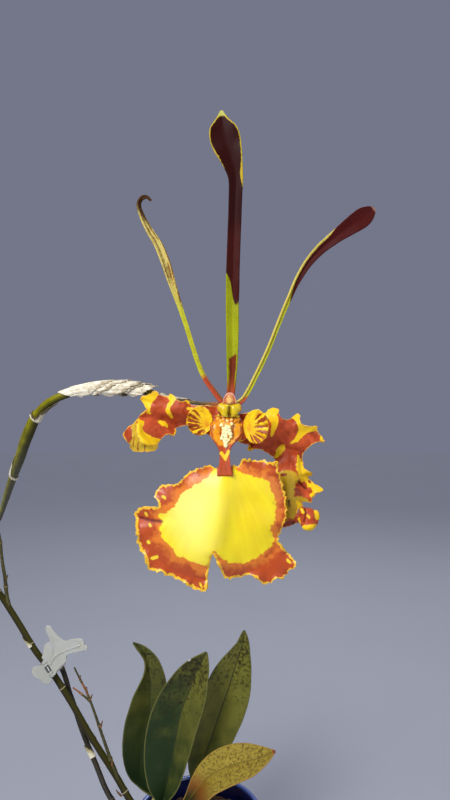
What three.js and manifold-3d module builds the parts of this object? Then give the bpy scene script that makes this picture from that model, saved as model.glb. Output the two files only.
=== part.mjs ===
// A potted butterfly orchid (Psychopsis): one bloom on a long arching spike, four leaves on their
// pseudobulbs, bark mix and a small glazed pot. Millimetres, +Z up, the viewer on the -Y side.
// The origin is the centre of the pot's foot, on the surface that the pot stands on.
import * as THREE from "three";
import { mergeVertices } from "three/addons/utils/BufferGeometryUtils.js";
import Module from "manifold-3d";

const wasm = await Module();
wasm.setup();

// Driving dimensions
const GAP = 0.3; // clearance between neighbouring pieces
const POT_HEIGHT = 88;
const POT_RIM_RADIUS = 47;
const POT_MOUTH_RADIUS = 42.4;
const POT_FOOT_RADIUS = 31;
const POT_FLOOR = 5;
const DRAIN_RADIUS = 3.5;
const DRAIN_RING_RADIUS = 16;
const MIX_TOP = 74;
const CHIP_COUNT = 16;
const BULB_HEIGHT = 25;
const BULB_HALF_WIDE = 8.5;
const BULB_HALF_THICK = 5;
const LEAF_THICKNESS = 1.1;
const PETAL_THICKNESS = 0.7;
const LIP_THICKNESS = 0.8;
const SPIKE_RADIUS = 2.3;
const FLOWER_CENTRE = [20, -260, 388.4];
const CLIP_CENTRE = [-108.1, 0.35, 197];

const DEGREE = Math.PI / 180;
const TO_VIEWER = new THREE.Vector3(0, -1, 0);
const vector = (p) => new THREE.Vector3(...p);

// Colours and finishes
const finish = (color, roughness) => new THREE.MeshStandardMaterial({ color, roughness, metalness: 0 });
const GLAZE = finish(0x1b2c66, 0.15);
const BARK = finish(0x2e2118, 0.95);
const ROOT = finish(0x8a7a5c, 0.85);
const BULB = finish(0x5b5a2c, 0.5);
const LEAF_GREEN = finish(0x3d4a22, 0.5);
const LEAF_YELLOW = finish(0xa3943a, 0.5);
const STEM_GREEN = finish(0x54581f, 0.5);
const STEM_DARK = finish(0x2f2a1c, 0.55);
const PAPER = finish(0xc9bfa8, 0.9);
const PETAL_MAROON = finish(0x4a1512, 0.5);
const PETAL_OLIVE = finish(0x9a9030, 0.5);
const SEPAL_RED = finish(0xa8401f, 0.5);
const LIP_YELLOW = finish(0xf0dc1e, 0.5);
const CALLUS_WHITE = finish(0xf0e2ae, 0.45);
const COLUMN_GOLD = finish(0xb89a24, 0.45);
const CLEAR_PLASTIC = finish(0xdfe3dc, 0.25);
const SPRING_STEEL = finish(0x9a9a98, 0.3);

// From a three.js geometry to a solid that can be cut and joined, and back.
function solidOf(geometry) {
  const bare = new THREE.BufferGeometry().setAttribute("position", geometry.getAttribute("position"));
  if (geometry.index) bare.setIndex(geometry.index);
  const merged = mergeVertices(bare, 1e-4);
  const mesh = new wasm.Mesh({
    numProp: 3,
    vertProperties: merged.getAttribute("position").array,
    triVerts: new Uint32Array(merged.index.array),
  });
  return new wasm.Manifold(mesh);
}

function geometryOf(solid) {
  const mesh = solid.getMesh();
  const geometry = new THREE.BufferGeometry();
  geometry.setAttribute("position", new THREE.BufferAttribute(mesh.vertProperties, mesh.numProp));
  geometry.setIndex(new THREE.BufferAttribute(mesh.triVerts, 1));
  geometry.computeVertexNormals();
  return geometry;
}

const joined = (solids) => solids.reduce((all, one) => all.add(one));

// What is left after a cut, without the loose scraps.
function largest(solid) {
  const bodies = solid.decompose();
  return bodies.reduce((best, body) => (body.volume() > best.volume() ? body : best));
}

const cut = (solid, ...tools) => largest(tools.reduce((rest, tool) => rest.subtract(tool), solid));

// Joins rows of points into a closed mesh. Each ring is a closed loop, and the two ends close on a point.
function closedRings(rings, startPoint, endPoint) {
  const sides = rings[0].length;
  const points = [...rings.flat(), startPoint, endPoint];
  const first = points.length - 2;
  const last = points.length - 1;
  const faces = [];
  for (let i = 0; i < sides; i++) {
    const next = (i + 1) % sides;
    faces.push(first, next, i);
    for (let r = 0; r + 1 < rings.length; r++) {
      const a = r * sides + i;
      const b = r * sides + next;
      faces.push(a, b, b + sides, a, b + sides, a + sides);
    }
    const end = (rings.length - 1) * sides;
    faces.push(last, end + i, end + next);
  }
  return geometryFrom(points, faces);
}

function geometryFrom(points, faces) {
  const geometry = new THREE.BufferGeometry().setFromPoints(points);
  geometry.setIndex(faces);
  return geometry;
}

// A smooth value along a piece, through a table of [place, value] pairs.
function profile(table) {
  return (s) => {
    const n = table.length;
    let i = 0;
    while (i < n - 2 && s > table[i + 1][0]) i++;
    const slope = (k) => {
      const before = table[Math.max(k - 1, 0)];
      const after = table[Math.min(k + 1, n - 1)];
      return (after[1] - before[1]) / (after[0] - before[0]);
    };
    const [s0, v0] = table[i];
    const [s1, v1] = table[i + 1];
    const h = s1 - s0;
    const t = Math.min(Math.max((s - s0) / h, 0), 1);
    const t2 = t * t;
    const t3 = t2 * t;
    return (
      (2 * t3 - 3 * t2 + 1) * v0 + (t3 - 2 * t2 + t) * h * slope(i) +
      (3 * t2 - 2 * t3) * v1 + (t3 - t2) * h * slope(i + 1)
    );
  };
}

const curveThrough = (points) => new THREE.CatmullRomCurve3(points.map(vector));

// The local directions of a blade or stem at s: along it, across it and out of its face.
function directionsAt(curve, s, facing) {
  const along = curve.getTangentAt(s);
  const across = new THREE.Vector3().crossVectors(along, facing).normalize();
  const out = new THREE.Vector3().crossVectors(across, along);
  return { along, across, out };
}

// A closed rod along a curve. radiusAt(s) gives its half sizes [across, deep], or one radius.
function rod(curve, steps, sides, radiusAt, { facing = TO_VIEWER, grow = 0, from = 0, to = 1 } = {}) {
  const rings = [];
  const centres = [];
  for (let r = 0; r <= steps; r++) {
    const s = from + ((to - from) * r) / steps;
    const { along, across, out } = directionsAt(curve, s, facing);
    const [wide, deep] = [radiusAt(s)].flat().concat(radiusAt(s));
    const longer = r === 0 ? -grow : r === steps ? grow : 0;
    const centre = curve.getPointAt(s).addScaledVector(along, longer);
    const ring = [];
    for (let i = 0; i < sides; i++) {
      const angle = (2 * Math.PI * i) / sides;
      const point = centre.clone().addScaledVector(across, (wide + grow) * Math.cos(angle));
      ring.push(point.addScaledVector(out, -(deep + grow) * Math.sin(angle)));
    }
    rings.push(ring);
    centres.push(centre);
  }
  return closedRings(rings, centres[0], centres[steps]);
}

// A closed skin of even thickness on a grid of points. pointAt(i, j) gives the middle surface.
function thickGrid(pointAt, rows, columns, thickness) {
  const place = [];
  const step = 1e-3;
  for (let i = 0; i <= rows; i++) {
    for (let j = 0; j <= columns; j++) {
      const [u, v] = [i / rows, j / columns];
      const [u0, u1] = [Math.max(u - step, 0), Math.min(u + step, 1)];
      const [v0, v1] = [Math.max(v - step, 0), Math.min(v + step, 1)];
      const du = pointAt(u1, v).sub(pointAt(u0, v));
      const dv = pointAt(u, v1).sub(pointAt(u, v0));
      place.push({ point: pointAt(u, v), normal: dv.cross(du).normalize() });
    }
  }
  const front = place.map(({ point, normal }) => point.clone().addScaledVector(normal, thickness / 2));
  const back = place.map(({ point, normal }) => point.clone().addScaledVector(normal, -thickness / 2));
  const faces = [];
  const under = place.length;
  const quad = (a, b, c, d) => faces.push(a, b, c, a, c, d);
  for (let i = 0; i < rows; i++) {
    for (let j = 0; j < columns; j++) {
      const a = i * (columns + 1) + j;
      const b = a + 1;
      const c = b + columns + 1;
      const d = a + columns + 1;
      quad(a, b, c, d);
      faces.push(under + a, under + c, under + b, under + a, under + d, under + c);
    }
  }
  for (let i = 0; i < rows; i++) {
    const left = i * (columns + 1);
    const right = left + columns;
    quad(left, left + columns + 1, under + left + columns + 1, under + left);
    quad(right + columns + 1, right, under + right, under + right + columns + 1);
  }
  for (let j = 0; j < columns; j++) {
    const top = rows * (columns + 1) + j;
    quad(j + 1, j, under + j, under + j + 1);
    quad(top, top + 1, under + top + 1, under + top);
  }
  return geometryFrom([...front, ...back], faces);
}

// A leaf, petal or sepal: a ribbon along a curve. left and right are the widths of its halves, fold is
// their rise from the middle line in degrees, and ruffle(s, side) moves the edges out of the face.
function ribbon(shape, rows, columns, thickness) {
  const { spine, facing, left, right = left, fold = () => 0, ruffle = () => 0 } = shape;
  const pointAt = (s, v) => {
    const t = 2 * v - 1;
    const side = Math.sign(t);
    const { across, out } = directionsAt(spine, s, facing(s));
    const width = (side < 0 ? left(s) : right(s)) * Math.abs(t);
    const rise = fold(s) * DEGREE;
    const lift = width * Math.sin(rise) + ruffle(s, side) * Math.abs(t) ** 3;
    return spine.getPointAt(s).addScaledVector(across, side * width * Math.cos(rise)).addScaledVector(out, lift);
  };
  return thickGrid(pointAt, rows, columns, thickness);
}

// A facing direction that turns smoothly from one end of a ribbon to the other.
function turning(stops) {
  const axes = [0, 1, 2].map((axis) => profile(stops.map(([s, direction]) => [s, direction[axis]])));
  return (s) => new THREE.Vector3(...axes.map((axis) => axis(s))).normalize();
}

// A thick round sheet inside an outline, with its rings drawn in towards a centre.
// depthAt(share, round) gives its y, where share is 0 at the centre and 1 at the edge.
function thickDisc({ outline, centre, depthAt, frill = () => 0 }, spokes, rings, thickness) {
  const points = [];
  const middle = new THREE.Vector3(centre[0], 0, centre[1]);
  for (let i = 0; i < spokes; i++) {
    const edge = outline.getPointAt(i / spokes);
    edge.add(edge.clone().sub(middle).normalize().multiplyScalar(frill(i / spokes)));
    for (let r = 1; r <= rings; r++) {
      const share = 1 - (1 - r / rings) ** 1.4;
      const point = middle.clone().lerp(edge, share);
      point.y = depthAt(share, i / spokes, point);
      points.push(point);
    }
  }
  const centrePoint = middle.clone();
  centrePoint.y = depthAt(0, 0, centrePoint);
  points.push(centrePoint);
  const hub = points.length - 1;
  const under = points.length;
  const faces = [];
  const pair = (a, b, c) => faces.push(a, b, c, under + a, under + c, under + b);
  for (let i = 0; i < spokes; i++) {
    const a = i * rings;
    const b = ((i + 1) % spokes) * rings;
    pair(hub, a, b);
    for (let r = 0; r + 1 < rings; r++) {
      pair(a + r, a + r + 1, b + r + 1);
      pair(a + r, b + r + 1, b + r);
    }
    const [edge, next] = [a + rings - 1, b + rings - 1];
    faces.push(edge, under + edge, under + next, edge, under + next, next);
  }
  const front = points.map((p) => p.clone().add(new THREE.Vector3(0, -thickness / 2, 0)));
  const back = points.map((p) => p.clone().add(new THREE.Vector3(0, thickness / 2, 0)));
  return geometryFrom([...front, ...back], faces);
}

// A fixed series of random numbers from 0 to 1.
function randomSeries(seed) {
  let state = seed;
  return () => {
    state = (state * 1664525 + 1013904223) % 4294967296;
    return state / 4294967296;
  };
}

const ball = (centre, radii, segments = 10) => {
  const geometry = new THREE.SphereGeometry(1, segments, Math.ceil(segments * 0.6));
  geometry.scale(...radii);
  return solidOf(geometry.translate(...centre));
};

const plant = new THREE.Group();
const flower = new THREE.Group();
flower.position.set(...FLOWER_CENTRE);
plant.add(flower);

function addNode(name, shape, material, group = plant) {
  const geometry = shape.isBufferGeometry ? shape : geometryOf(shape);
  const mesh = new THREE.Mesh(geometry, material);
  mesh.name = name;
  group.add(mesh);
  return mesh;
}

// Pot: a turned, glazed wall with a rolled rim and four drain holes round a plain middle
function makePot() {
  const wall = [
    [0, 0], [POT_FOOT_RADIUS, 0], [POT_FOOT_RADIUS + 1.6, 1.8], [34.8, 12], [39.8, 40], [44.2, 77],
    [POT_RIM_RADIUS - 0.8, 79], [POT_RIM_RADIUS, 82], [POT_RIM_RADIUS - 0.4, 86],
    [POT_RIM_RADIUS - 2, POT_HEIGHT], [POT_MOUTH_RADIUS + 0.8, POT_HEIGHT - 0.4],
    [POT_MOUTH_RADIUS, POT_HEIGHT - 2], [40.4, 72], [36, 40], [31, 12], [27, POT_FLOOR], [0, POT_FLOOR],
  ];
  const turned = solidOf(new THREE.LatheGeometry(wall.map(([r, z]) => new THREE.Vector2(r, z)), 32));
  const upright = turned.rotate([90, 0, 0]);
  const drains = [45, 135, 225, 315].map((angle) => {
    const drill = new THREE.CylinderGeometry(DRAIN_RADIUS, DRAIN_RADIUS, 4 * POT_FLOOR, 12);
    drill.rotateX(Math.PI / 2);
    const [x, y] = [Math.cos(angle * DEGREE), Math.sin(angle * DEGREE)];
    return solidOf(drill.translate(DRAIN_RING_RADIUS * x, DRAIN_RING_RADIUS * y, 0));
  });
  return cut(upright, ...drains);
}

// Pseudobulbs: flattened eggs that stand on the rhizome, each with a neck for its leaf
const BULBS = {
  pseudobulb_left: { foot: [-29, 8], top: [-33, 7] },
  pseudobulb_middle: { foot: [-22.5, -5], top: [-26.5, -5] },
  pseudobulb_right: { foot: [-4.5, 9.5], top: [-6, 11] },
  pseudobulb_front: { foot: [-9, -9], top: [-13, -12] },
};
const BULB_FOOT = 70.5;
const BULB_SWELL = profile([[0, 0.5], [0.15, 0.8], [0.4, 1], [0.65, 0.9], [0.85, 0.62], [1, 0.36]]);
const BULB_FACING = vector([0.87, -0.5, 0]);

function makeBulb({ foot, top }, grow = 0) {
  const middle = [(foot[0] + top[0]) / 2 + 0.4, (foot[1] + top[1]) / 2, BULB_FOOT + BULB_HEIGHT / 2];
  const line = curveThrough([[...foot, BULB_FOOT], middle, [...top, BULB_FOOT + BULB_HEIGHT]]);
  const size = (s) => [BULB_HALF_WIDE * BULB_SWELL(s), BULB_HALF_THICK * BULB_SWELL(s)];
  return solidOf(rod(line, 6, 10, size, { facing: BULB_FACING, grow }));
}

// Rhizome: a creeping stem that the bulbs straddle, with roots that dive into the mix
const RHIZOME_LINES = [
  [[-33.5, 15, 72.5], [-29, 8, 73], [-23, -4, 73], [-10, -9, 73], [-1, -15, 73.5]],
  [[-17, -7, 72.8], [-9, 1, 73], [-5, 9, 73], [-3, 17, 73.5]],
];
const ROOT_LINES = [
  [[-36, 13, 73], [-32, 22, 75.4], [-26, 28, 74.6], [-22, 31, 69]],
  [[-2, -14, 73.5], [8, -19, 76], [18, -19, 74.8], [24, -15, 69]],
  [[-8, 3, 73], [4, 3, 76], [14, 1, 74.8], [19, -3, 69]],
  [[-14, -9, 73], [-14, -21, 75.8], [-10, -29, 74.6], [-5, -32, 69]],
];

function makeRhizome(grow = 0) {
  const creeping = RHIZOME_LINES.map((line) => solidOf(rod(curveThrough(line), 8, 8, () => 2.7, {
    facing: vector([0, 0, 1]), grow,
  })));
  const roots = ROOT_LINES.map((line) => solidOf(rod(curveThrough(line), 5, 5, () => 1, {
    facing: vector([0.2, 0.2, 1]), grow,
  })));
  return joined([...creeping, ...roots]);
}

// Flowering spike: round and dark at the pot, flattened and green where it arches to the viewer
const SPIKE_LINE = [
  [-29, -16.5, 69], [-32, -16.3, 78], [-35.6, -15.5, 87], [-41, -14, 95.5], [-48.9, -12, 104.3],
  [-59.4, -9, 119.6], [-78.7, -6, 147.5], [-93.7, -4, 171.6], [-107.4, -2, 191.3], [-120, -1.5, 207.2],
  [-132.9, 0, 227.1], [-146.1, -1, 248.4], [-153.3, -14, 268], [-148, -34, 285], [-135.5, -58, 299],
  [-119.1, -87, 313], [-103.7, -117, 325.8], [-88, -152, 341], [-70.5, -192, 357.5], [-58.9, -218, 368],
  [-51.4, -233, 377], [-45.1, -241, 385.2], [-38.9, -245.3, 389.9], [-27.6, -247, 393.4],
  [-14.1, -248, 393.5], [-3.1, -248.5, 392],
];
const SPIKE_WIDTH = profile([
  [0, 1], [0.3, 0.98], [0.5, 0.9], [0.66, 0.83], [0.8, 0.92], [0.87, 1], [0.92, 0.94], [0.95, 0.74], [1, 0.5],
]);
const SPIKE_FLATTEN = profile([[0, 1], [0.5, 0.97], [0.8, 0.72], [0.92, 0.68], [1, 0.8]]);
const spikeCurve = curveThrough(SPIKE_LINE);
const spikeSize = (s) => [SPIKE_RADIUS * SPIKE_WIDTH(s), SPIKE_RADIUS * SPIKE_WIDTH(s) * SPIKE_FLATTEN(s)];

// Side branches: [line, radius at its foot, radius at its tip]
const BRANCHES = [
  [[[-139, -0.2, 238], [-141, 0, 246], [-142.4, 0, 259], [-144.6, 0, 273], [-145.7, -1, 288],
    [-148.3, -3, 302], [-150.5, -6, 314]], 1.5, 0.7],
  [[[-57, -9.6, 116], [-59.6, -12, 126], [-63.1, -13.4, 136], [-68.6, -13.6, 152], [-73.9, -13, 167],
    [-79.6, -12, 181], [-84.5, -12, 190.5], [-88.9, -12, 199.5]], 1.4, 0.6],
  [[[-76.3, -12.6, 174], [-80, -12.4, 177.4], [-85, -12.4, 181.5], [-90, -12, 184.8]], 0.9, 0.5],
];

function makeSpike(grow = 0) {
  const stem = solidOf(rod(spikeCurve, 50, 8, spikeSize, { grow }));
  const branches = BRANCHES.map(([line, foot, tip]) => {
    const taper = (s) => foot + (tip - foot) * s;
    return solidOf(rod(curveThrough(line), 2 * line.length, 5, taper, { grow }));
  });
  return joined([stem, ...branches]);
}

// Older spike: stands in the mix beside the first, leans over the rim and ends in the clip
const OLD_SPIKE_LINE = [
  [-22.5, -21.5, 69], [-26, -23, 79], [-29.5, -24, 87.5], [-36, -24.6, 93.6], [-44, -23.6, 97],
  [-53, -20.4, 101], [-60.9, -16.2, 107], [-66.7, -12.5, 113.9], [-71.8, -8.2, 122], [-77, -4.5, 130.7],
  [-81.2, -2, 138], [-85.9, 0, 147.9], [-89.1, 0.8, 156.3], [-92.1, 1.4, 165.5], [-95.7, 2, 174.8],
  [-98.2, 2.4, 183.5], [-101.4, 2.6, 192.1], [-105.8, 2.6, 199.6],
  [-110.2, 2.5, 206.6],
];
const OLD_SPIKE_RADIUS = 1.85;
const oldSpikeCurve = curveThrough(OLD_SPIKE_LINE);
const makeOldSpike = (grow = 0) => solidOf(rod(oldSpikeCurve, 32, 7, () => OLD_SPIKE_RADIUS, { grow }));

// Dry sheaths: sleeves that wrap a stem's joints. Each runs from one share of the curve to another.
function makeSheath(curve, stem, from, to, sizeAt, flare) {
  const middle = (from + to) / 2;
  const size = (s) => [sizeAt(s)].flat().map((half) => half + GAP + flare(Math.abs(s - middle) / (to - middle)));
  const sleeve = solidOf(rod(curve, 3, 9, (s) => (size(s).length > 1 ? size(s) : size(s)[0]), { from, to }));
  return cut(sleeve, stem);
}

// Papery bracts: dry cones one inside the next over the last joints of the flowering spike
const BRACTS = [
  [0.936, 0.956, 0.5, 0.8], [0.948, 0.967, 0.6, 1], [0.961, 0.978, 0.6, 1], [0.973, 0.987, 0.6, 0.9],
  [0.982, 0.992, 0.5, 0.7],
];

function makeBracts(stem) {
  const cones = BRACTS.map(([from, to, low, high], i) => {
    const lean = i % 2 ? 0.12 : -0.12;
    const size = (s) => {
      const share = (s - from) / (to - from);
      const [wide, deep] = spikeSize(s);
      const skin = GAP + low + (high - low) * Math.sin(share * Math.PI * 0.6);
      return [wide + skin * (1 + lean), deep + skin];
    };
    return solidOf(rod(spikeCurve, 3, 9, size, { from, to }));
  });
  return cut(joined(cones), stem);
}

// Leaves: leathery blades folded along the midrib, on a short clasping stalk
const LEAVES = {
  leaf_left: {
    material: LEAF_GREEN,
    spine: [[-33.3, 7, 96.4], [-36.8, 8, 98.8], [-41.4, 9.4, 103], [-44.2, 10.6, 109.6], [-43.2, 11.6, 124.2],
      [-40.5, 12, 142.2], [-38, 12, 155], [-37.5, 11.6, 169.4], [-37.9, 10, 185.5], [-39.6, 7.6, 196.7],
      [-43, 4.4, 205], [-48.5, 0.5, 211.9]],
    left: profile([[0, 3.4], [0.05, 4.4], [0.1, 6.1], [0.14, 9.4], [0.18, 12.3], [0.24, 15.1], [0.32, 16.8],
      [0.4, 17.6], [0.5, 17.6], [0.6, 15], [0.7, 10], [0.78, 4.8], [0.84, 2.8], [0.9, 3], [0.95, 2.6], [1, 0.5]]),
    right: profile([[0, 3.4], [0.05, 7], [0.1, 13], [0.14, 16.5], [0.18, 19], [0.24, 19.8], [0.4, 19.3],
      [0.5, 18.4], [0.6, 16.9], [0.7, 14.3], [0.78, 11.4], [0.84, 8.8], [0.9, 5.4], [0.95, 2.8], [1, 0.5]]),
    facing: turning([[0, [-0.1, -1, 0.1]], [0.6, [0, -1, 0]], [0.85, [0.45, -0.9, 0]], [1, [0.3, -0.9, 0.3]]]),
    fold: profile([[0, 72], [0.08, 58], [0.2, 34], [0.6, 28], [0.85, 34], [1, 20]]),
  },
  leaf_middle: {
    material: LEAF_GREEN,
    spine: [[-26.7, -5, 96.4], [-25.8, -5, 101], [-24.2, -5, 107], [-21.6, -5, 117.9], [-19, -5, 131.7],
      [-16.3, -5, 146.2], [-13.7, -5, 160], [-10.2, -5, 170.9], [-6.6, -5, 179.6], [-2.2, -5, 191.9],
      [2.2, -6, 200.3], [5.8, -7, 208]],
    left: profile([[0, 3.4], [0.04, 7.5], [0.08, 12], [0.12, 15], [0.18, 17.8], [0.26, 20.6], [0.34, 22.2],
      [0.42, 23], [0.5, 22.9], [0.6, 21.8], [0.7, 19.8], [0.8, 16.1], [0.88, 11.2], [0.94, 7.2], [1, 0.6]]),
    right: profile([[0, 3.4], [0.04, 7], [0.08, 10.5], [0.12, 12.6], [0.18, 14.2], [0.26, 15.6], [0.34, 17],
      [0.42, 18.6], [0.5, 20.1], [0.6, 20.6], [0.7, 19.2], [0.8, 16.8], [0.88, 13.2], [0.94, 8.4], [1, 0.6]]),
    facing: turning([[0, [-0.29, -0.96, 0]], [1, [-0.34, -0.94, 0]]]),
    fold: profile([[0, 72], [0.08, 56], [0.2, 38], [0.6, 33], [1, 30]]),
  },
  leaf_right: {
    material: LEAF_GREEN,
    spine: [[-6, 11, 96.4], [-3.4, 11.4, 101.6], [-0.3, 12.4, 110], [4.3, 13.4, 123.5], [9.2, 14.4, 135.8],
      [13.4, 15.2, 148.2], [17, 16, 158.3], [21.7, 16, 171.2], [25.3, 15.6, 183.4], [29.9, 14.2, 197.9],
      [32.6, 12.8, 206.6], [33.5, 11, 217.1]],
    left: profile([[0, 3.4], [0.05, 7], [0.1, 11], [0.16, 14.4], [0.26, 17.2], [0.34, 19.3], [0.42, 20.8],
      [0.5, 21.6], [0.6, 21.1], [0.7, 18.6], [0.8, 13.6], [0.86, 9], [0.92, 5.4], [0.96, 3.6], [1, 0.5]]),
    right: profile([[0, 3.4], [0.05, 6.5], [0.1, 9.6], [0.16, 12.8], [0.26, 15.4], [0.34, 16.9], [0.42, 18.3],
      [0.5, 19.3], [0.6, 18.8], [0.7, 16.8], [0.8, 13], [0.86, 9.6], [0.92, 5.6], [0.96, 3.5], [1, 0.5]]),
    facing: turning([[0, [0.1, -1, 0]], [1, [-0.05, -1, 0.1]]]),
    fold: profile([[0, 72], [0.08, 54], [0.2, 36], [0.6, 28], [1, 26]]),
  },
  leaf_yellow: {
    material: LEAF_YELLOW,
    spine: [[-13.3, -12.3, 96.4], [-10.4, -13.6, 101], [-6.4, -15.6, 107], [1.4, -19, 118.6],
      [10, -22, 128.6], [22.4, -27, 137.4], [31.2, -31, 142.4], [39.8, -35, 146.6], [47.6, -38.6, 151.4],
      [52.6, -41, 155.8]],
    left: profile([[0, 3], [0.06, 3], [0.14, 4.2], [0.2, 5.7], [0.28, 8], [0.36, 9.9], [0.44, 11.6],
      [0.52, 12.8], [0.6, 13], [0.7, 12.1], [0.8, 10.2], [0.88, 7.4], [0.94, 4.6], [1, 0.4]]),
    right: profile([[0, 3], [0.06, 6], [0.14, 10.5], [0.2, 13.6], [0.28, 16], [0.36, 17], [0.44, 17.2],
      [0.52, 16.6], [0.6, 15.8], [0.7, 14.6], [0.8, 12.2], [0.88, 8.4], [0.94, 4.6], [1, 0.4]]),
    facing: turning([[0, [-0.5, -0.8, 0.3]], [0.3, [-0.4, -0.66, 0.62]], [1, [-0.34, -0.6, 0.72]]]),
    fold: profile([[0, 72], [0.1, 50], [0.25, 30], [0.6, 20], [1, 14]]),
  },
};

const makeLeaf = ({ spine, ...rest }) =>
  ribbon({ spine: curveThrough(spine), ...rest }, 15, 4, LEAF_THICKNESS);

// Potting mix: packed bark with loose chips on its top, and plain holes for what stands in it
function makeMix(standing) {
  const wall = [[0, POT_FLOOR + GAP], [26.6, POT_FLOOR + GAP], [30.6, 12], [35.6, 40], [40, 71.5],
    [38, MIX_TOP - 0.5], [20, MIX_TOP + 0.6], [0, MIX_TOP + 1]];
  const core = solidOf(new THREE.LatheGeometry(wall.map(([r, z]) => new THREE.Vector2(r, z)), 20));
  const random = randomSeries(7);
  const chips = [];
  for (let i = 0; i < CHIP_COUNT; i++) {
    const radius = 34 * Math.sqrt((i + 0.5) / CHIP_COUNT);
    const angle = i * 2.399963; // the golden angle spreads the chips evenly
    const chip = new THREE.BoxGeometry(6 + 5 * random(), 4 + 3 * random(), 2.5 + 1.5 * random());
    chip.rotateX((random() - 0.5) * 0.9).rotateY((random() - 0.5) * 0.9).rotateZ(random() * Math.PI);
    chips.push(solidOf(chip.translate(radius * Math.cos(angle), radius * Math.sin(angle), MIX_TOP + 1.1)));
  }
  return cut(joined([core.rotate([90, 0, 0]), ...chips]), ...standing);
}

// Pedicel: the bloom's own stalk, from the spike's tip to the back of the column. Flower frame.
const PEDICEL_LINE = [[-22.6, 11.6, 3.5], [-19, 11, 2.3], [-14, 10.4, 1.2], [-9, 9, 0.5], [-5, 6.8, 0.2],
  [-2, 4.6, 0], [-0.4, 2.9, -0.2]];
const PEDICEL_RADIUS = profile([[0, 0.75], [0.4, 0.7], [0.7, 1.2], [1, 1.6]]);
const makePedicel = (grow = 0) => solidOf(rod(curveThrough(PEDICEL_LINE), 10, 7, PEDICEL_RADIUS, { grow }));

// Column: a short club that points at the viewer, with a wing on each side of its mouth
const COLUMN_LINE = [[-0.3, 2.4, -0.6], [-0.2, 0, -0.6], [0, -3, -0.2], [0, -5.6, 0.4]];
const COLUMN_RADIUS = profile([[0, 2.2], [0.25, 2.7], [0.7, 2.9], [1, 2.5]]);

function makeColumn(grow = 0) {
  const club = solidOf(rod(curveThrough(COLUMN_LINE), 5, 11, COLUMN_RADIUS, { facing: vector([0, 0, 1]), grow }));
  const wings = [-1, 1].map((side) =>
    ball([side * 3.7, -4.2, 0.6], [1.3 + grow, 1.1 + grow, 2 + grow], 8));
  return joined([club, ...wings]);
}

const makeAntherCap = () =>
  cut(ball([0, -5.2, 2.6], [2.1, 2.2, 2.6], 9), makeColumn(GAP));

// Dorsal sepal and petals: narrow ribbons that stand up from the back of the column
const ANTENNAE = {
  dorsal_sepal: {
    material: PETAL_MAROON,
    spine: [[0.5, 1.4, 1], [0.9, 2.4, 5], [1.1, 3, 9], [1.3, 3.6, 18], [1.3, 4, 30], [1.5, 4, 42], [1.9, 3.8, 54],
      [2.2, 3.4, 64], [2.3, 3, 71], [1, 2.6, 76.6], [-0.4, 2.4, 81], [-1.6, 2.6, 86], [-2.1, 3, 91.8]],
    left: profile([[0, 1.3], [0.06, 1.5], [0.15, 2], [0.4, 2.3], [0.68, 2.3], [0.76, 2.5], [0.81, 3.3],
      [0.87, 4.6], [0.905, 4.9], [0.94, 4.2], [0.97, 2], [1, 0.35]]),
    facing: turning([[0, [0, -1, 0]], [1, [0, -1, 0]]]),
    fold: profile([[0, 30], [0.3, 24], [0.75, 22], [0.88, 8], [1, 10]]),
  },
  petal_left: {
    material: PETAL_OLIVE,
    spine: [[-1.4, 1.4, 0.4], [-4, 2.1, 3.8], [-7.2, 2.6, 8.4], [-9.7, 3, 14.4], [-12.2, 3.4, 22.6], [-15.2, 3.8, 31.6],
      [-17.5, 4, 38], [-19.6, 4, 44.4], [-22, 3.6, 50], [-24.8, 3, 54.6], [-27, 2.4, 59], [-28, 1.6, 62.4],
      [-27.2, 0.8, 64.4], [-25.6, 0.6, 64.9], [-24, 1, 63.6]],
    left: profile([[0, 0.95], [0.3, 0.95], [0.5, 1.25], [0.62, 2.05], [0.7, 2.1], [0.8, 1.6],
      [0.9, 1.05], [0.96, 0.75], [1, 0.4]]),
    facing: turning([[0, [-0.5, -0.8, 0.2]], [0.4, [-0.6, -0.8, 0]], [0.62, [0.3, -0.95, 0]],
      [0.85, [0.6, -0.8, 0]], [1, [0.8, -0.4, 0]]]),
    fold: profile([[0, 30], [0.5, 36], [0.7, 22], [1, 30]]),
  },
  petal_right: {
    material: PETAL_MAROON,
    spine: [[1.6, 1.4, -0.2], [4.2, 2, 1.4], [6, 2.4, 4], [8.8, 3, 9.6], [12.5, 3.4, 17.6], [15.6, 3.8, 25.5],
      [18.7, 4, 32.9], [21.4, 4, 38.8], [24.8, 4, 44.2], [28.6, 3.6, 48.4], [32.9, 3.2, 52],
      [37.2, 2.8, 55.1], [41.5, 2.6, 58.1], [44.4, 2.6, 60.4], [45.6, 2.6, 61.4]],
    left: profile([[0, 0.9], [0.3, 0.95], [0.5, 1.1], [0.66, 1.5], [0.8, 2.1], [0.88, 2.8], [0.94, 3.1],
      [0.975, 2.2], [1, 0.7]]),
    facing: turning([[0, [0.5, -0.8, 0.2]], [0.45, [0.6, -0.8, 0]], [0.7, [0.2, -0.95, 0]], [1, [0, -1, 0]]]),
    fold: profile([[0, 30], [0.5, 34], [0.75, 20], [0.92, 10], [1, 10]]),
  },
};

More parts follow.
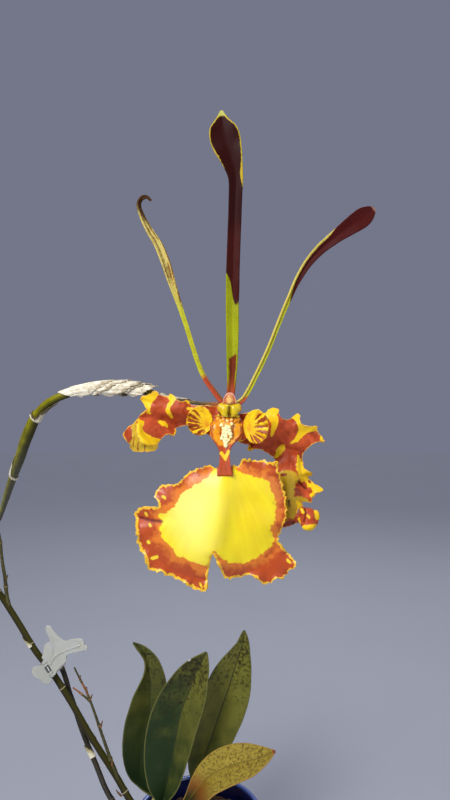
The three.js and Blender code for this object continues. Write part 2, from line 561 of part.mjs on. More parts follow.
// Lateral sepals: broad banded ribbons with waved and toothed edges, bent down at their ends
const LATERALS = {
  lateral_sepal_left: {
    spine: [[-2.9, 2.6, -2.6], [-7, 3.2, -2.7], [-12, 3.8, -2.3], [-17, 4.2, -2.4], [-21.6, 4.2, -3.6],
      [-25, 3.2, -6.2], [-27.2, 1.4, -9.4], [-28.2, -0.8, -11.6], [-27.4, -2.6, -12.6]],
    left: profile([[0, 2.4], [0.08, 4.6], [0.14, 5.6], [0.2, 5.5], [0.26, 5.1], [0.32, 4.5], [0.38, 4.9],
      [0.46, 5.6], [0.5, 6.7], [0.56, 7], [0.66, 6.4], [0.74, 6.1], [0.82, 6.5], [0.88, 5.2], [1, 2]]),
    right: profile([[0, 2.2], [0.1, 2.4], [0.2, 2.8], [0.26, 3.1], [0.3, 3.4], [0.34, 4.2], [0.38, 4],
      [0.42, 5.2], [0.46, 6.3], [0.5, 6.9], [0.54, 8.6], [0.58, 10], [0.62, 8.6], [0.66, 5.6], [0.7, 4.7],
      [0.8, 4.4], [0.9, 4.8], [1, 3]]),
    facing: turning([[0, [0, -1, 0]], [0.5, [0, -1, 0.1]], [0.68, [0.2, -0.9, 0.5]], [0.85, [0.7, -0.5, 0.75]],
      [1, [0.9, 0.3, 0.5]]]),
    fold: profile([[0, 10], [0.3, -14], [0.6, -22], [1, -16]]),
    waves: { height: 1.1, count: 4.5 },
  },
  lateral_sepal_right: {
    spine: [[2.6, 2.6, -4.4], [6.5, 3.4, -7.4], [11, 4.2, -8.6], [16, 5, -9.6], [20, 5.4, -13.4],
      [22, 5.6, -19], [23, 5.4, -25], [23.4, 4.6, -30.6], [24, 3, -34.6], [25.6, 1, -36.8],
      [26.4, -1, -36]],
    left: profile([[0, 4.5], [0.04, 6.2], [0.08, 6.7], [0.16, 6.8], [0.24, 7.6], [0.28, 7.8], [0.32, 6.4],
      [0.36, 9.1], [0.4, 9.4], [0.44, 10.8], [0.48, 6.8], [0.52, 2.8], [0.56, 2.4], [0.6, 3.6], [0.64, 5.4],
      [0.68, 5.2], [0.72, 8], [0.76, 6.2], [0.8, 4.2], [0.84, 5.8], [0.88, 6], [0.92, 5.2], [0.96, 2.6], [1, 1]]),
    right: profile([[0, 2.5], [0.04, 3.7], [0.12, 5.5], [0.2, 5.8], [0.28, 6.5], [0.6, 6.7], [0.72, 6.4],
      [0.8, 5.6], [0.88, 3.6], [1, 1.6]]),
    facing: turning([[0, [0, -1, 0]], [0.5, [0.1, -1, 0.1]], [0.75, [0.3, -0.9, 0.1]], [0.9, [0.2, -0.8, 0.7]],
      [1, [-0.2, 0.4, 1]]]),
    fold: profile([[0, 10], [0.3, -12], [0.6, -16], [1, -12]]),
    waves: { height: 1.4, count: 6.5 },
  },
};

function makeLateral({ spine, waves, ...rest }) {
  const { height, count } = waves;
  const grown = (s) => Math.sin(Math.PI * Math.min(s * 1.15 + 0.04, 1)) ** 0.5;
  const ruffle = (s, side) => height * grown(s) * Math.sin(2 * Math.PI * (count * s + 0.22 * side));
  const shape = { spine: curveThrough(spine), ...rest, ruffle };
  return solidOf(ribbon(shape, 27, 6, PETAL_THICKNESS));
}

// Lip: side lobes and a body under the column, a narrow claw, and a broad two-lobed blade
const BLADE_OUTLINE = [
  [-3.4, -19.2], [-7.5, -19.2], [-11.2, -20.6], [-16.2, -24.4], [-21.4, -25.6], [-22.8, -28.8],
  [-21.2, -31.8], [-24, -31.6], [-28.1, -32.2], [-28.9, -36], [-28.4, -41], [-26.4, -47],
  [-24.6, -50.9], [-18.5, -53.2], [-12.1, -56.3], [-7, -57.6], [-7, -52], [-5.2, -46.9], [-2.5, -51.2],
  [-0.9, -53.6], [3, -53.2], [6.9, -52.9], [11.7, -55.6], [19, -51.8], [20.8, -48.9], [17.4, -44.9],
  [15.4, -41.4], [17.6, -35.7], [18, -29.7], [15.9, -21.8], [14.8, -18], [9.6, -17.4], [4.6, -16.8],
  [3.2, -18.8], [0, -19.4],
];
const BLADE_CENTRE = [-4.7, -34.3];
const CLAW_LINE = [[-0.3, 1.4, -4.2], [-0.4, -0.6, -5], [-0.7, -2.6, -7.6], [-1.2, -3.6, -10.6],
  [-1.7, -4.2, -13.6], [-1.9, -4.4, -17], [-2, -5.2, -21.6]];
const CLAW_WIDTH = profile([[0, 3], [0.1, 4.6], [0.25, 5.4], [0.36, 4.8], [0.46, 3.6], [0.54, 2.5], [0.62, 1.8],
  [0.85, 1.75], [1, 2.2]]);
const SIDE_LOBES = [
  { centre: [-8.9, -4.6], radius: 4.1, tilt: -0.5 },
  { centre: [8.6, -6.7], radius: 4.3, tilt: 0.5 },
];

// The blade swells towards the viewer along a soft ridge, and its frilled edge bends back.
function bladeDepth(share, round, point) {
  const ridge = point.x + 1.2 - (point.z + 21) * 0.16;
  const swell = 3.1 * (1 - share ** 2.2) + 1.3 * Math.exp(-((ridge / 4.5) ** 2)) * (1 - share ** 4);
  const crease = 1.7 * Math.exp(-(((point.z + 35) / 2.2) ** 2)) * Math.max(0, (-point.x - 14) / 14);
  const frill = 0.85 * share ** 5 * Math.sin(2 * Math.PI * 17 * round);
  return -3.4 - swell + crease + frill + 0.9 * share ** 3;
}

function makeLip(grow = 0) {
  const outline = new THREE.CatmullRomCurve3(BLADE_OUTLINE.map(([x, z]) => new THREE.Vector3(x, 0, z)), true);
  const shape = {
    outline,
    centre: BLADE_CENTRE,
    depthAt: bladeDepth,
    frill: (round) => grow + 0.32 * Math.sin(2 * Math.PI * 27 * round),
  };
  const blade = solidOf(thickDisc(shape, 80, 4, LIP_THICKNESS + 2 * grow));
  const claw = {
    spine: curveThrough(CLAW_LINE),
    facing: () => TO_VIEWER,
    left: (s) => CLAW_WIDTH(s) + grow,
    fold: () => 12,
  };
  const body = solidOf(ribbon(claw, 14, 4, 1.5 + 2 * grow));
  const lobes = SIDE_LOBES.map(({ centre, radius, tilt }) => {
    const ring = new THREE.EllipseCurve(centre[0], centre[1], radius + grow, radius * 1.04 + grow);
    const rim = { getPointAt: (t) => new THREE.Vector3(ring.getPoint(t).x, 0, ring.getPoint(t).y) };
    return solidOf(thickDisc({
      outline: rim,
      centre,
      depthAt: (share, round, point) => -2.7 - tilt * (point.x - centre[0]) * 0.5 - 0.7 * share ** 2 +
        0.28 * share ** 3 * Math.sin(2 * Math.PI * 7 * round),
      frill: (round) => 0.22 * Math.sin(2 * Math.PI * 11 * round),
    }, 20, 2, LIP_THICKNESS + 2 * grow));
  });
  const arms = SIDE_LOBES.map(({ centre }) => {
    const line = curveThrough([[-0.6, -2.2, -7.6], [centre[0] * 0.5, -2.5, centre[1] - 2], [centre[0], -2.6, centre[1]]]);
    return solidOf(rod(line, 5, 8, () => [2.4, 0.8], { grow }));
  });
  return joined([blade, body, ...lobes, ...arms]);
}

// Callus: a double row of warts down the middle of the lip's body, with a swelling on each side
function makeCallus(lip) {
  const warts = [];
  for (let i = 0; i < 5; i++) {
    const z = -5.2 - 1.8 * i;
    const spread = 1.5 * Math.cos(i * 0.32);
    warts.push(ball([-0.6 - spread - 0.1 * i, -3.6 - 0.25 * i, z], [0.95, 1.5, 0.95], 6));
    warts.push(ball([-0.6 + spread - 0.1 * i, -3.6 - 0.25 * i, z - 0.4], [0.95, 1.5, 0.95], 6));
  }
  const crest = ball([-0.9, -3.6, -9], [1.3, 1.9, 5], 7);
  const cheeks = [-1, 1].map((side) => ball([-0.8 + side * 2.6, -3, -8.2], [1.7, 1.3, 3.1], 6));
  return cut(joined([crest, ...cheeks, ...warts]), lip, makeColumn(GAP));
}

// Plant clip: two wing-shaped handles with curved jaws, on a pin with a coil spring. Clip frame: the
// pin and the held stems run along Z, the first handle lies towards +X, and the viewer is on the -Y side.
const PIN_RADIUS = 0.9;
const PIN_DEPTH = -9.6; // from the stems to the pin
const KNUCKLE_RADIUS = 2.1;
const JAW_INNER = 6.85;
const JAW_OUTER = 8.1;
const HANDLE_THICKNESS = 1.3;
const SPRING_RADIUS = 1.65;
const WIRE_RADIUS = 0.35;

const cylinderAlongZ = (radius, low, high, sides = 12) => {
  const geometry = new THREE.CylinderGeometry(radius, radius, high - low, sides);
  return solidOf(geometry.rotateX(Math.PI / 2).translate(0, 0, (low + high) / 2));
};

// A wing seen flat, in the XZ plane: a plate with a long upper lobe and a blunt outer lobe.
const FIRST_WING = [
  [-1, -6.2], [2.6, -6.2], [5, -4.8], [8.2, -3.8], [11.7, -3], [15.3, -2.3], [18.2, 1.2], [24.4, -0.2], [30.2, -1.9],
  [33.6, -3.2], [35.4, -1.3], [34.2, 1], [35.2, 3], [34.6, 5.6], [32, 7.6], [26.6, 9.7], [23.1, 10.6],
  [21, 15.1], [20.1, 19.4], [19.8, 25], [17.5, 26.8], [15.2, 24], [13.4, 16.2], [8.8, 16.1], [3.4, 11.4],
  [-1, 6.6],
];
const SECOND_WING = [
  [-1, -4.6], [1.2, -5.4], [2.2, -7.6], [4.4, -8.8], [7, -8], [8.6, -5], [9, -1.8], [10.6, 0.6], [11, 4.6],
  [9.4, 7.2], [6.6, 7.6], [3.4, 5.4], [-1, 4.8],
];

function makeWing(outline) {
  const shape = new THREE.Shape(outline.map(([x, z]) => new THREE.Vector2(x, z)));
  const plate = new THREE.ExtrudeGeometry(shape, { depth: HANDLE_THICKNESS, bevelEnabled: false });
  return solidOf(plate.rotateX(Math.PI / 2).translate(0, HANDLE_THICKNESS / 2, 0));
}

// A jaw: part of a ring round the stems, on the given side of the pin.
function makeJaw(side, low, high) {
  const outline = new THREE.Shape();
  const [start, end] = side > 0 ? [-98, 76] : [278, 104];
  outline.absarc(0, 0, JAW_OUTER, start * DEGREE, end * DEGREE, side < 0);
  outline.absarc(0, 0, JAW_INNER, end * DEGREE, start * DEGREE, side > 0);
  const ring = new THREE.ExtrudeGeometry(outline, { depth: high - low, bevelEnabled: false, curveSegments: 6 });
  return solidOf(ring.translate(0, 0, low));
}

const atPin = (solid) => solid.translate([0, PIN_DEPTH, 0]);

// The first half has two knuckles at the ends, and the second one has two inside those.
const FIRST_KNUCKLES = [[-6.2, -4.4], [4.4, 6.2]];
const SECOND_KNUCKLES = [[-4.1, -2.4], [2.4, 4.1]];

// A half is a wing on knuckles, with a jaw behind each knuckle. Its root stays clear of the spring.
function makeClipHalf(side, wing, handleAngle, knuckles, otherKnuckles) {
  const turn = side > 0 ? -handleAngle : 180 + handleAngle;
  const plate = atPin(wing.rotate([0, 0, turn]));
  const barrels = knuckles.map(([low, high]) => atPin(cylinderAlongZ(KNUCKLE_RADIUS, low, high)));
  const jaws = knuckles.map(([low, high]) => makeJaw(side, low, high));
  const bore = atPin(cylinderAlongZ(PIN_RADIUS + GAP, -12, 12));
  const springRoom = atPin(cylinderAlongZ(KNUCKLE_RADIUS + GAP, -2.4, 2.4));
  const others = otherKnuckles.map(([low, high]) =>
    atPin(cylinderAlongZ(KNUCKLE_RADIUS + GAP, low - GAP, high + GAP)));
  return cut(joined([plate, ...barrels, ...jaws]), bore, springRoom, ...others);
}

// The coil spring round the pin: its turns rise along Z.
function makeSpring() {
  const turns = 3.5;
  const points = [];
  for (let i = 0; i <= turns * 8; i++) {
    const angle = (2 * Math.PI * i) / 8;
    const rise = -1.7 + (3.4 * i) / (turns * 8);
    points.push([SPRING_RADIUS * Math.cos(angle), SPRING_RADIUS * Math.sin(angle), rise]);
  }
  const facing = vector([0, 0, 1]);
  return atPin(solidOf(rod(curveThrough(points), turns * 8, 5, () => WIRE_RADIUS, { facing })));
}

const CLIP_ANGLE = Math.atan2(-0.552, 0.834) / DEGREE;

// From the clip frame to the part's frame: the pin lies along the stems.
const placeClip = (solid) => solid.rotate([0, CLIP_ANGLE, 0]).translate(CLIP_CENTRE);

// Assembly
addNode("pot", makePot(), GLAZE);

const rhizomeSpace = makeRhizome(GAP);
const spikeSpace = makeSpike(GAP);
const oldSpikeSpace = makeOldSpike(GAP);
const bulbSpaces = Object.values(BULBS).map((bulb) => makeBulb(bulb, GAP));

addNode("rhizome", cut(makeRhizome(), spikeSpace, oldSpikeSpace), ROOT);
for (const [name, bulb] of Object.entries(BULBS)) {
  addNode(name, cut(makeBulb(bulb), rhizomeSpace, spikeSpace, oldSpikeSpace), BULB);
}
addNode("potting_mix", makeMix([rhizomeSpace, spikeSpace, oldSpikeSpace, ...bulbSpaces]), BARK);

for (const [name, leaf] of Object.entries(LEAVES)) {
  addNode(name, cut(solidOf(makeLeaf(leaf)), ...bulbSpaces), leaf.material);
}

addNode("flower_spike", makeSpike(), STEM_GREEN);
addNode("old_spike", makeOldSpike(), STEM_DARK);

const widening = (share) => 0.35 + 0.35 * (1 - share);
addNode("sheath_lower", makeSheath(spikeCurve, spikeSpace, 0.3, 0.317, spikeSize, widening), PAPER);
addNode("sheath_middle", makeSheath(spikeCurve, spikeSpace, 0.815, 0.858, spikeSize, widening), PAPER);
addNode("sheath_upper", makeSheath(spikeCurve, spikeSpace, 0.904, 0.919, spikeSize, widening), PAPER);
addNode("sheath_old_spike",
  makeSheath(oldSpikeCurve, oldSpikeSpace.add(spikeSpace), 0.518, 0.566, () => OLD_SPIKE_RADIUS, widening), PAPER);
addNode("papery_bracts", makeBracts(spikeSpace), PAPER);

const columnSpace = makeColumn(GAP);
const pedicelSpace = makePedicel(GAP);
const bractSpace = spikeSpace.translate(FLOWER_CENTRE.map((x) => -x));
addNode("pedicel", cut(makePedicel(), columnSpace, bractSpace), STEM_GREEN, flower);
addNode("column", makeColumn(), COLUMN_GOLD, flower);
addNode("anther_cap", makeAntherCap(), CALLUS_WHITE, flower);
for (const [name, { material, spine, ...rest }] of Object.entries(ANTENNAE)) {
  const blade = solidOf(ribbon({ spine: curveThrough(spine), ...rest }, 24, 2, PETAL_THICKNESS));
  addNode(name, cut(blade, columnSpace, pedicelSpace), material, flower);
}
for (const [name, sepal] of Object.entries(LATERALS)) {
  addNode(name, cut(makeLateral(sepal), columnSpace, pedicelSpace), SEPAL_RED, flower);
}
addNode("lip", cut(makeLip(), columnSpace), LIP_YELLOW, flower);
addNode("callus", makeCallus(makeLip(GAP)), CALLUS_WHITE, flower);

const firstWing = makeWing(FIRST_WING);
const secondWing = makeWing(SECOND_WING);
addNode("clip_half_first", placeClip(makeClipHalf(1, firstWing, 10, FIRST_KNUCKLES, SECOND_KNUCKLES)), CLEAR_PLASTIC);
addNode("clip_half_second", placeClip(makeClipHalf(-1, secondWing, 48, SECOND_KNUCKLES, FIRST_KNUCKLES)),
  CLEAR_PLASTIC);
addNode("clip_pin", placeClip(atPin(cylinderAlongZ(PIN_RADIUS, -7, 7))), SPRING_STEEL);
addNode("clip_spring", placeClip(makeSpring()), SPRING_STEEL);

export default plant;
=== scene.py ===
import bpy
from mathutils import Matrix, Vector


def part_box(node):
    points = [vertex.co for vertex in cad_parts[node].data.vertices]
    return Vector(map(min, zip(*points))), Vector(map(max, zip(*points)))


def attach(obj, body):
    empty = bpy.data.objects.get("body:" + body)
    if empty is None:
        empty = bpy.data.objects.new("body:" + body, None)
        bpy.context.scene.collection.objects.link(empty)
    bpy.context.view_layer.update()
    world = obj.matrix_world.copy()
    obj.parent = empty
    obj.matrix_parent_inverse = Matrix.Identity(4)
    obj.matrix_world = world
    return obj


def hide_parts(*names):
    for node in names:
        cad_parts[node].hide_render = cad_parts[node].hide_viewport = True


bl_info = {
    "name": "Potted Butterfly Orchid",
    "version": (1, 0, 0),
    "blender": (4, 5, 0),
    "location": "View3D > Sidebar > Orchid",
    "description": "Dresses the packed model of a potted butterfly orchid with its shapes and finishes",
    "category": "Object",
}

import math

import bpy
import numpy as np
from mathutils import Matrix, Vector, noise

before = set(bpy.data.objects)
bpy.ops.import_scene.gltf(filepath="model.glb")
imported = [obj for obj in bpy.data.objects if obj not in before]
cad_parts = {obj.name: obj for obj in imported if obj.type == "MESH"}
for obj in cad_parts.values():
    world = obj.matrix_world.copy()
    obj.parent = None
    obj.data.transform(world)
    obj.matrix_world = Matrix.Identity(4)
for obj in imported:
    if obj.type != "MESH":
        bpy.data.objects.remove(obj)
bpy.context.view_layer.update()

# Places and sizes are in millimetres, as in the part's source, until a mesh takes them
MM = 0.001
FLOWER = np.array([20.0, -260.0, 388.4])
TO_VIEWER = (0.0, -1.0, 0.0)
# From the eye that the bloom was drawn for to the bloom's own plane
EYE = 192.0
# A full turn, in radians
TURN = 2 * math.pi


def colour(code):
    """An sRGB hex colour in the linear light that the shaders take. Other colours stay as they are."""
    if not isinstance(code, str):
        return code
    channels = [int(code[i:i + 2], 16) / 255 for i in (1, 3, 5)]
    linear = [c / 12.92 if c <= 0.04045 else ((c + 0.055) / 1.055) ** 2.4 for c in channels]
    return (*linear, 1.0)


# Sizes and colours that a user would change


class PotSettings(bpy.types.PropertyGroup):
    height: bpy.props.FloatProperty(
        name="Height", description="Height of the pot", unit="LENGTH", default=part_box("pot")[1].z)
    glaze: bpy.props.FloatVectorProperty(
        name="Glaze", description="Colour of the glaze", subtype="COLOR", size=4, default=colour("#152163"))
    clay: bpy.props.FloatVectorProperty(
        name="Clay", description="Colour of the bare foot", subtype="COLOR", size=4,
        default=colour("#a87955"))


class FoliageSettings(bpy.types.PropertyGroup):
    leaf_thickness: bpy.props.FloatProperty(
        name="Leaf thickness", description="Thickness of a blade", unit="LENGTH", default=0.0011)
    green: bpy.props.FloatVectorProperty(
        name="Green", description="Main colour of the green leaves", subtype="COLOR", size=4,
        default=colour("#4a4f22"))
    yellow: bpy.props.FloatVectorProperty(
        name="Yellow", description="Main colour of the old leaf", subtype="COLOR", size=4,
        default=colour("#b09a3c"))
    bulb: bpy.props.FloatVectorProperty(
        name="Pseudobulb", description="Colour of the pseudobulbs", subtype="COLOR", size=4,
        default=colour("#5e6630"))


class BloomSettings(bpy.types.PropertyGroup):
    petal_thickness: bpy.props.FloatProperty(
        name="Petal thickness", description="Thickness of sepals and petals", unit="LENGTH", default=0.0006)
    lip_thickness: bpy.props.FloatProperty(
        name="Lip thickness", description="Thickness of the lip", unit="LENGTH", default=0.0007)
    lip: bpy.props.FloatVectorProperty(
        name="Lip", description="Colour of the lip's disc", subtype="COLOR", size=4,
        default=colour("#fae414"))
    bands: bpy.props.FloatVectorProperty(
        name="Bands", description="Red-brown of the sepals and of the lip's margin", subtype="COLOR", size=4,
        default=colour("#c4542a"))


class ClipSettings(bpy.types.PropertyGroup):
    plastic: bpy.props.FloatVectorProperty(
        name="Plastic", description="Colour of the plant clip", subtype="COLOR", size=4,
        default=colour("#d3cfba"))
    wire: bpy.props.FloatProperty(
        name="Wire", description="Radius of the spring's wire", unit="LENGTH", default=0.00035)


SETTINGS = {
    "orchid_pot": PotSettings,
    "orchid_foliage": FoliageSettings,
    "orchid_bloom": BloomSettings,
    "orchid_clip": ClipSettings,
}


# Lines, profiles and fields, all for whole arrays of places at once


def unit(vectors):
    return vectors / np.maximum(np.linalg.norm(vectors, axis=-1, keepdims=True), 1e-9)


class Line:
    """A smooth line through points. Places on it are shares of its length, from 0 to 1."""

    def __init__(self, points, closed=False):
        knots = np.array(points, float)
        if closed:
            knots = np.vstack([knots[-1:], knots, knots[:2]])
        else:
            knots = np.vstack([2 * knots[:1] - knots[1:2], knots, 2 * knots[-1:] - knots[-2:-1]])
        t = np.linspace(0, 1, 40, endpoint=False)[:, None]
        runs = []
        for p0, p1, p2, p3 in zip(knots, knots[1:], knots[2:], knots[3:]):
            d0, d1, d2 = (math.sqrt(np.linalg.norm(b - a)) for a, b in ((p0, p1), (p1, p2), (p2, p3)))
            start = ((p1 - p0) / d0 - (p2 - p0) / (d0 + d1) + (p2 - p1) / d1) * d1
            end = ((p2 - p1) / d1 - (p3 - p1) / (d1 + d2) + (p3 - p2) / d2) * d1
            bend = -3 * p1 + 3 * p2 - 2 * start - end
            runs.append(p1 + start * t + bend * t ** 2 + (2 * p1 - 2 * p2 + start + end) * t ** 3)
        self.closed = closed
        self.points = np.vstack([*runs, knots[-2:-1]])
        steps = np.linalg.norm(np.diff(self.points, axis=0), axis=1)
        self.length = steps.sum()
        self.shares = np.concatenate([[0], np.cumsum(steps)]) / self.length

    def at(self, share):
        share = np.mod(share, 1.0) if self.closed else np.clip(share, 0, 1)
        return columns(*(np.interp(share, self.shares, axis) for axis in self.points.T))

    def along(self, share):
        step = 0.004
        return unit(self.at(share + step) - self.at(share - step))


def columns(*values):
    """One row for each place, out of arrays and plain numbers."""
    return np.stack(np.broadcast_arrays(*values), axis=-1)


def profile(table):
    """A smooth value along a piece, through pairs of place and value."""
    places, values = np.array(table, float).T
    before = np.maximum(np.arange(len(places)) - 1, 0)
    after = np.minimum(np.arange(len(places)) + 1, len(places) - 1)
    slopes = (values[after] - values[before]) / (places[after] - places[before])

    def value(s):
        i = np.clip(np.searchsorted(places, s, side="left") - 1, 0, len(places) - 2)
        h = places[i + 1] - places[i]
        t = np.clip((s - places[i]) / h, 0, 1)
        return (
            (2 * t ** 3 - 3 * t ** 2 + 1) * values[i] + (t ** 3 - 2 * t ** 2 + t) * h * slopes[i]
            + (3 * t ** 2 - 2 * t ** 3) * values[i + 1] + (t ** 3 - t ** 2) * h * slopes[i + 1]
        )

    return value


def turning(stops):
    """A direction that turns smoothly along a piece."""
    axes = [profile([(s, direction[axis]) for s, direction in stops]) for axis in range(3)]
    return lambda s: unit(columns(*(axis(s) for axis in axes)))


def wander(points, size, seed=0.0):
    """Smooth noise from about -1 to 1, with bumps that are size millimetres across."""
    shift = Vector((seed, 2.7 * seed, -1.3 * seed))
    return np.array([noise.noise(Vector(p) / size + shift) for p in points])


def near_line(points, line):
    """How far each point (x, z) is from a chain of straight runs."""
    nearest = np.full(len(points), 1e9)
    chain = np.array(line, float)
    for a, b in zip(chain, chain[1:]):
        share = np.clip(((points - a) @ (b - a)) / ((b - a) @ (b - a)), 0, 1)
        nearest = np.minimum(nearest, np.linalg.norm(points - a - share[:, None] * (b - a), axis=1))
    return nearest


def strokes(points, marks):
    """Brush strokes seen from the front: over 0 inside one of them. Each has a half width and a path."""
    front = points[:, [0, 2]]
    return np.max([half - near_line(front, path) for half, path in marks], axis=0)


def inside(points, outline):
    """How deep each point lies inside a closed outline, seen from the front, and less than 0 outside it."""
    front = points[:, [0, 2]]
    ring = Line(outline, closed=True).points[::8]
    depth = near_line(front, ring)
    crossings = np.zeros(len(front), int)
    for (x0, z0), (x1, z1) in zip(ring, ring[1:]):
        if z0 == z1:
            continue
        between = (z0 > front[:, 1]) != (z1 > front[:, 1])
        crossings += between & (front[:, 0] < (x1 - x0) * (front[:, 1] - z0) / (z1 - z0) + x0)
    return np.where(crossings % 2 == 1, depth, -depth)


def placed(flat):
    """Places in the row's frame of points drawn in the bloom's plane, each at its own depth y."""
    points = np.array(flat, float)
    points[:, [0, 2]] *= 1 + points[:, 1:2] / EYE
    return points + FLOWER


def drawn(points):
    """The drawing that placed puts at these points."""
    flat = points - FLOWER
    flat[:, [0, 2]] /= 1 + flat[:, 1:2] / EYE
    return flat


# Making and finishing pieces


def deselect():
    bpy.ops.object.select_all(action="DESELECT")


def activate(piece):
    deselect()
    piece.select_set(True)
    bpy.context.view_layer.objects.active = piece


def in_edit(piece, work):
    """Runs edit operators on the whole of a piece."""
    activate(piece)
    bpy.ops.object.mode_set(mode="EDIT")
    bpy.ops.mesh.select_all(action="SELECT")
    work()
    bpy.ops.object.mode_set(mode="OBJECT")


def weld():
    bpy.ops.mesh.remove_doubles(threshold=3e-6)
    bpy.ops.mesh.normals_make_consistent(inside=False)


def places_of(piece):
    flat = np.empty(len(piece.data.vertices) * 3)
    piece.data.vertices.foreach_get("co", flat)
    return flat.reshape(-1, 3)


def reshape(piece, points):
    """Moves the points of a piece to these places, in millimetres."""
    piece.data.vertices.foreach_set("co", (points * MM).ravel())
    piece.data.update()


def named(name):
    """The piece that was just made, under its name."""
    piece = bpy.context.object
    piece.name = piece.data.name = name
    return piece


def rod(radius, tall, place, sides=40):
    """A cylinder along Z, with its sizes and its middle's place in millimetres."""
    deselect()
    bpy.ops.mesh.primitive_cylinder_add(
        vertices=sides, radius=radius * MM, depth=tall * MM, location=[c * MM for c in place])
    return bpy.context.object


def paint(piece, fields):
    """Stores one number for each point of the mesh under each name, for the materials to read."""
    for name, values in fields.items():
        attribute = piece.data.attributes.new(name, "FLOAT", "POINT")
        attribute.data.foreach_set("value", np.asarray(values, float))


def sheet(name, place, across, along, closed=False, fields=None):
    """A grid whose points are moved to place(u, s). fields(u, s, points) gives its painted numbers."""
    deselect()
    bpy.ops.mesh.primitive_grid_add(x_subdivisions=across, y_subdivisions=along, size=1)
    piece = named(name)
    shares = np.clip(places_of(piece)[:, :2] + 0.5, 0, 1)
    u, s = shares.T
    points = place(u, s)
    reshape(piece, points)
    if fields:
        paint(piece, fields(u, s, points))
    if closed:
        in_edit(piece, weld)
    return piece


def cut_sheet(name, edge, net):
    """A flat sheet, facing the viewer, with this edge, cut through by a square net of finer edges."""
    deselect()
    bpy.ops.mesh.primitive_circle_add(vertices=len(edge), radius=1, fill_type="NGON")
    piece = named(name)
    reshape(piece, edge)

    def cut():
        for axis in (0, 2):
            normal = np.zeros(3)
            normal[axis] = 1
            for level in np.arange(edge[:, axis].min() + 0.1, edge[:, axis].max(), net):
                bpy.ops.mesh.select_all(action="SELECT")
                bpy.ops.mesh.bisect(plane_co=normal * level * MM, plane_no=normal)

    in_edit(piece, cut)
    return piece


def nearest_edge(flat, edge):
    """For each point: the nearest point of the edge, how far that is, and its share of the way round."""
    nearest = np.array([np.argmin(np.sum((edge - point) ** 2, axis=1)) for point in flat])
    return edge[nearest], np.linalg.norm(flat - edge[nearest], axis=1), nearest / len(edge)


def lay_out(piece, places):
    """Gives each point of a piece this place in its UV map."""
    corners = np.empty(len(piece.data.loops), int)
    piece.data.loops.foreach_get("vertex_index", corners)
    layer = piece.data.uv_layers.active or piece.data.uv_layers.new()
    layer.data.foreach_set("uv", places[corners].ravel())


def modify(piece, kind, **settings):
    activate(piece)
    modifier = piece.modifiers.new(kind.title(), kind)
    for key, value in settings.items():
        setattr(modifier, key, value)
    bpy.ops.object.modifier_apply(modifier=modifier.name)


def cut_away(piece, tool, solver):
    modify(piece, "BOOLEAN", operation="DIFFERENCE", object=tool, solver=solver)
    bpy.data.objects.remove(tool)


def thicken(piece, thickness, rounding=1):
    modify(piece, "SOLIDIFY", thickness=thickness, offset=0)
    if rounding:
        modify(piece, "SUBSURF", levels=rounding, render_levels=rounding)


def join(name, pieces):
    activate(pieces[0])
    for piece in pieces[1:]:
        piece.select_set(True)
    if len(pieces) > 1:
        bpy.ops.object.join()
    return named(name)


def lump(name, balls, voxel, smoothing, others=()):
    """Balls, each with a centre in the bloom's drawing and radii, and other pieces, grown together into one
    soft skin."""
    parts = list(others)
    for centre, radii in balls:
        deselect()
        bpy.ops.mesh.primitive_uv_sphere_add(
            segments=20, ring_count=12, radius=MM, location=placed([centre])[0] * MM, scale=radii)
        bpy.ops.object.transform_apply(location=True, rotation=True, scale=True)
        parts.append(bpy.context.object)
    piece = join(name, parts)
    modify(piece, "REMESH", mode="VOXEL", voxel_size=voxel * MM)
    modify(piece, "SMOOTH", factor=0.5, iterations=smoothing)
    return piece


def finish(piece, material, replaces=(), body="plant", angle=None):
    activate(piece)
    if angle is None:
        bpy.ops.object.shade_smooth()
    else:
        bpy.ops.object.shade_smooth_by_angle(angle=math.radians(angle))
    piece.data.materials.clear()
    piece.data.materials.append(material)
    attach(piece, body)
    if replaces:
        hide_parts(*replaces)


def directions(line, s, facing):
    """Which way is across a line, and which way is out of it, at each place on it."""
    along = line.along(s)
    across = unit(np.cross(along, facing))
    return across, np.cross(across, along)


def round_line(line, s, facing, wide, deep, angle):
    """Places round a line, at this angle from its right side and these distances from it."""
    across, out = directions(line, s, facing)
    return line.at(s) + across * (wide * np.cos(angle))[:, None] - out * (deep * np.sin(angle))[:, None]


def ribbon(line, facing, left, right, fold, lift=None, crease=0.05):
    """Places of a blade: u runs from its left edge to its right one, and s from its foot to its tip."""
    def place(u, s):
        across, out = directions(line, s, facing(s))
        t = 2 * u - 1
        width = np.where(t < 0, left(s), right(s))
        rise = np.radians(fold(s))
        bent = np.sqrt(t ** 2 + crease ** 2) - crease
        raised = width * bent * np.sin(rise)
        if lift is not None:
            raised = raised + lift(u, s)
        return line.at(s) + across * (width * t * np.cos(rise))[:, None] + out * raised[:, None]

    return place


def tube(line, size, facing=TO_VIEWER, ends=1.0):
    """Places of a closed tube: u runs round it. size(u, s) gives its radius, or its half width and depth."""
    def place(u, s):
        halves = size(u, s)
        wide, deep = halves if isinstance(halves, tuple) else (halves, halves)
        from_end = np.minimum(np.minimum(s, 1 - s) * line.length / ends, 1)
        closing = np.sqrt(np.maximum(1 - (1 - from_end) ** 2, 0))
        return round_line(line, s, facing, wide * closing, deep * closing, TURN * u)

    return place


# Materials


def put(tree, kind, inputs=None, **settings):
    """Adds a shader node, sets it up, and gives each input its number or its link."""
    node = tree.nodes.new("ShaderNode" + kind)
    for key, value in settings.items():
        setattr(node, key, value)
    for key, value in (inputs or {}).items():
        if isinstance(value, bpy.types.NodeSocket):
            tree.links.new(value, node.inputs[key])
        else:
            node.inputs[key].default_value = value
    return node


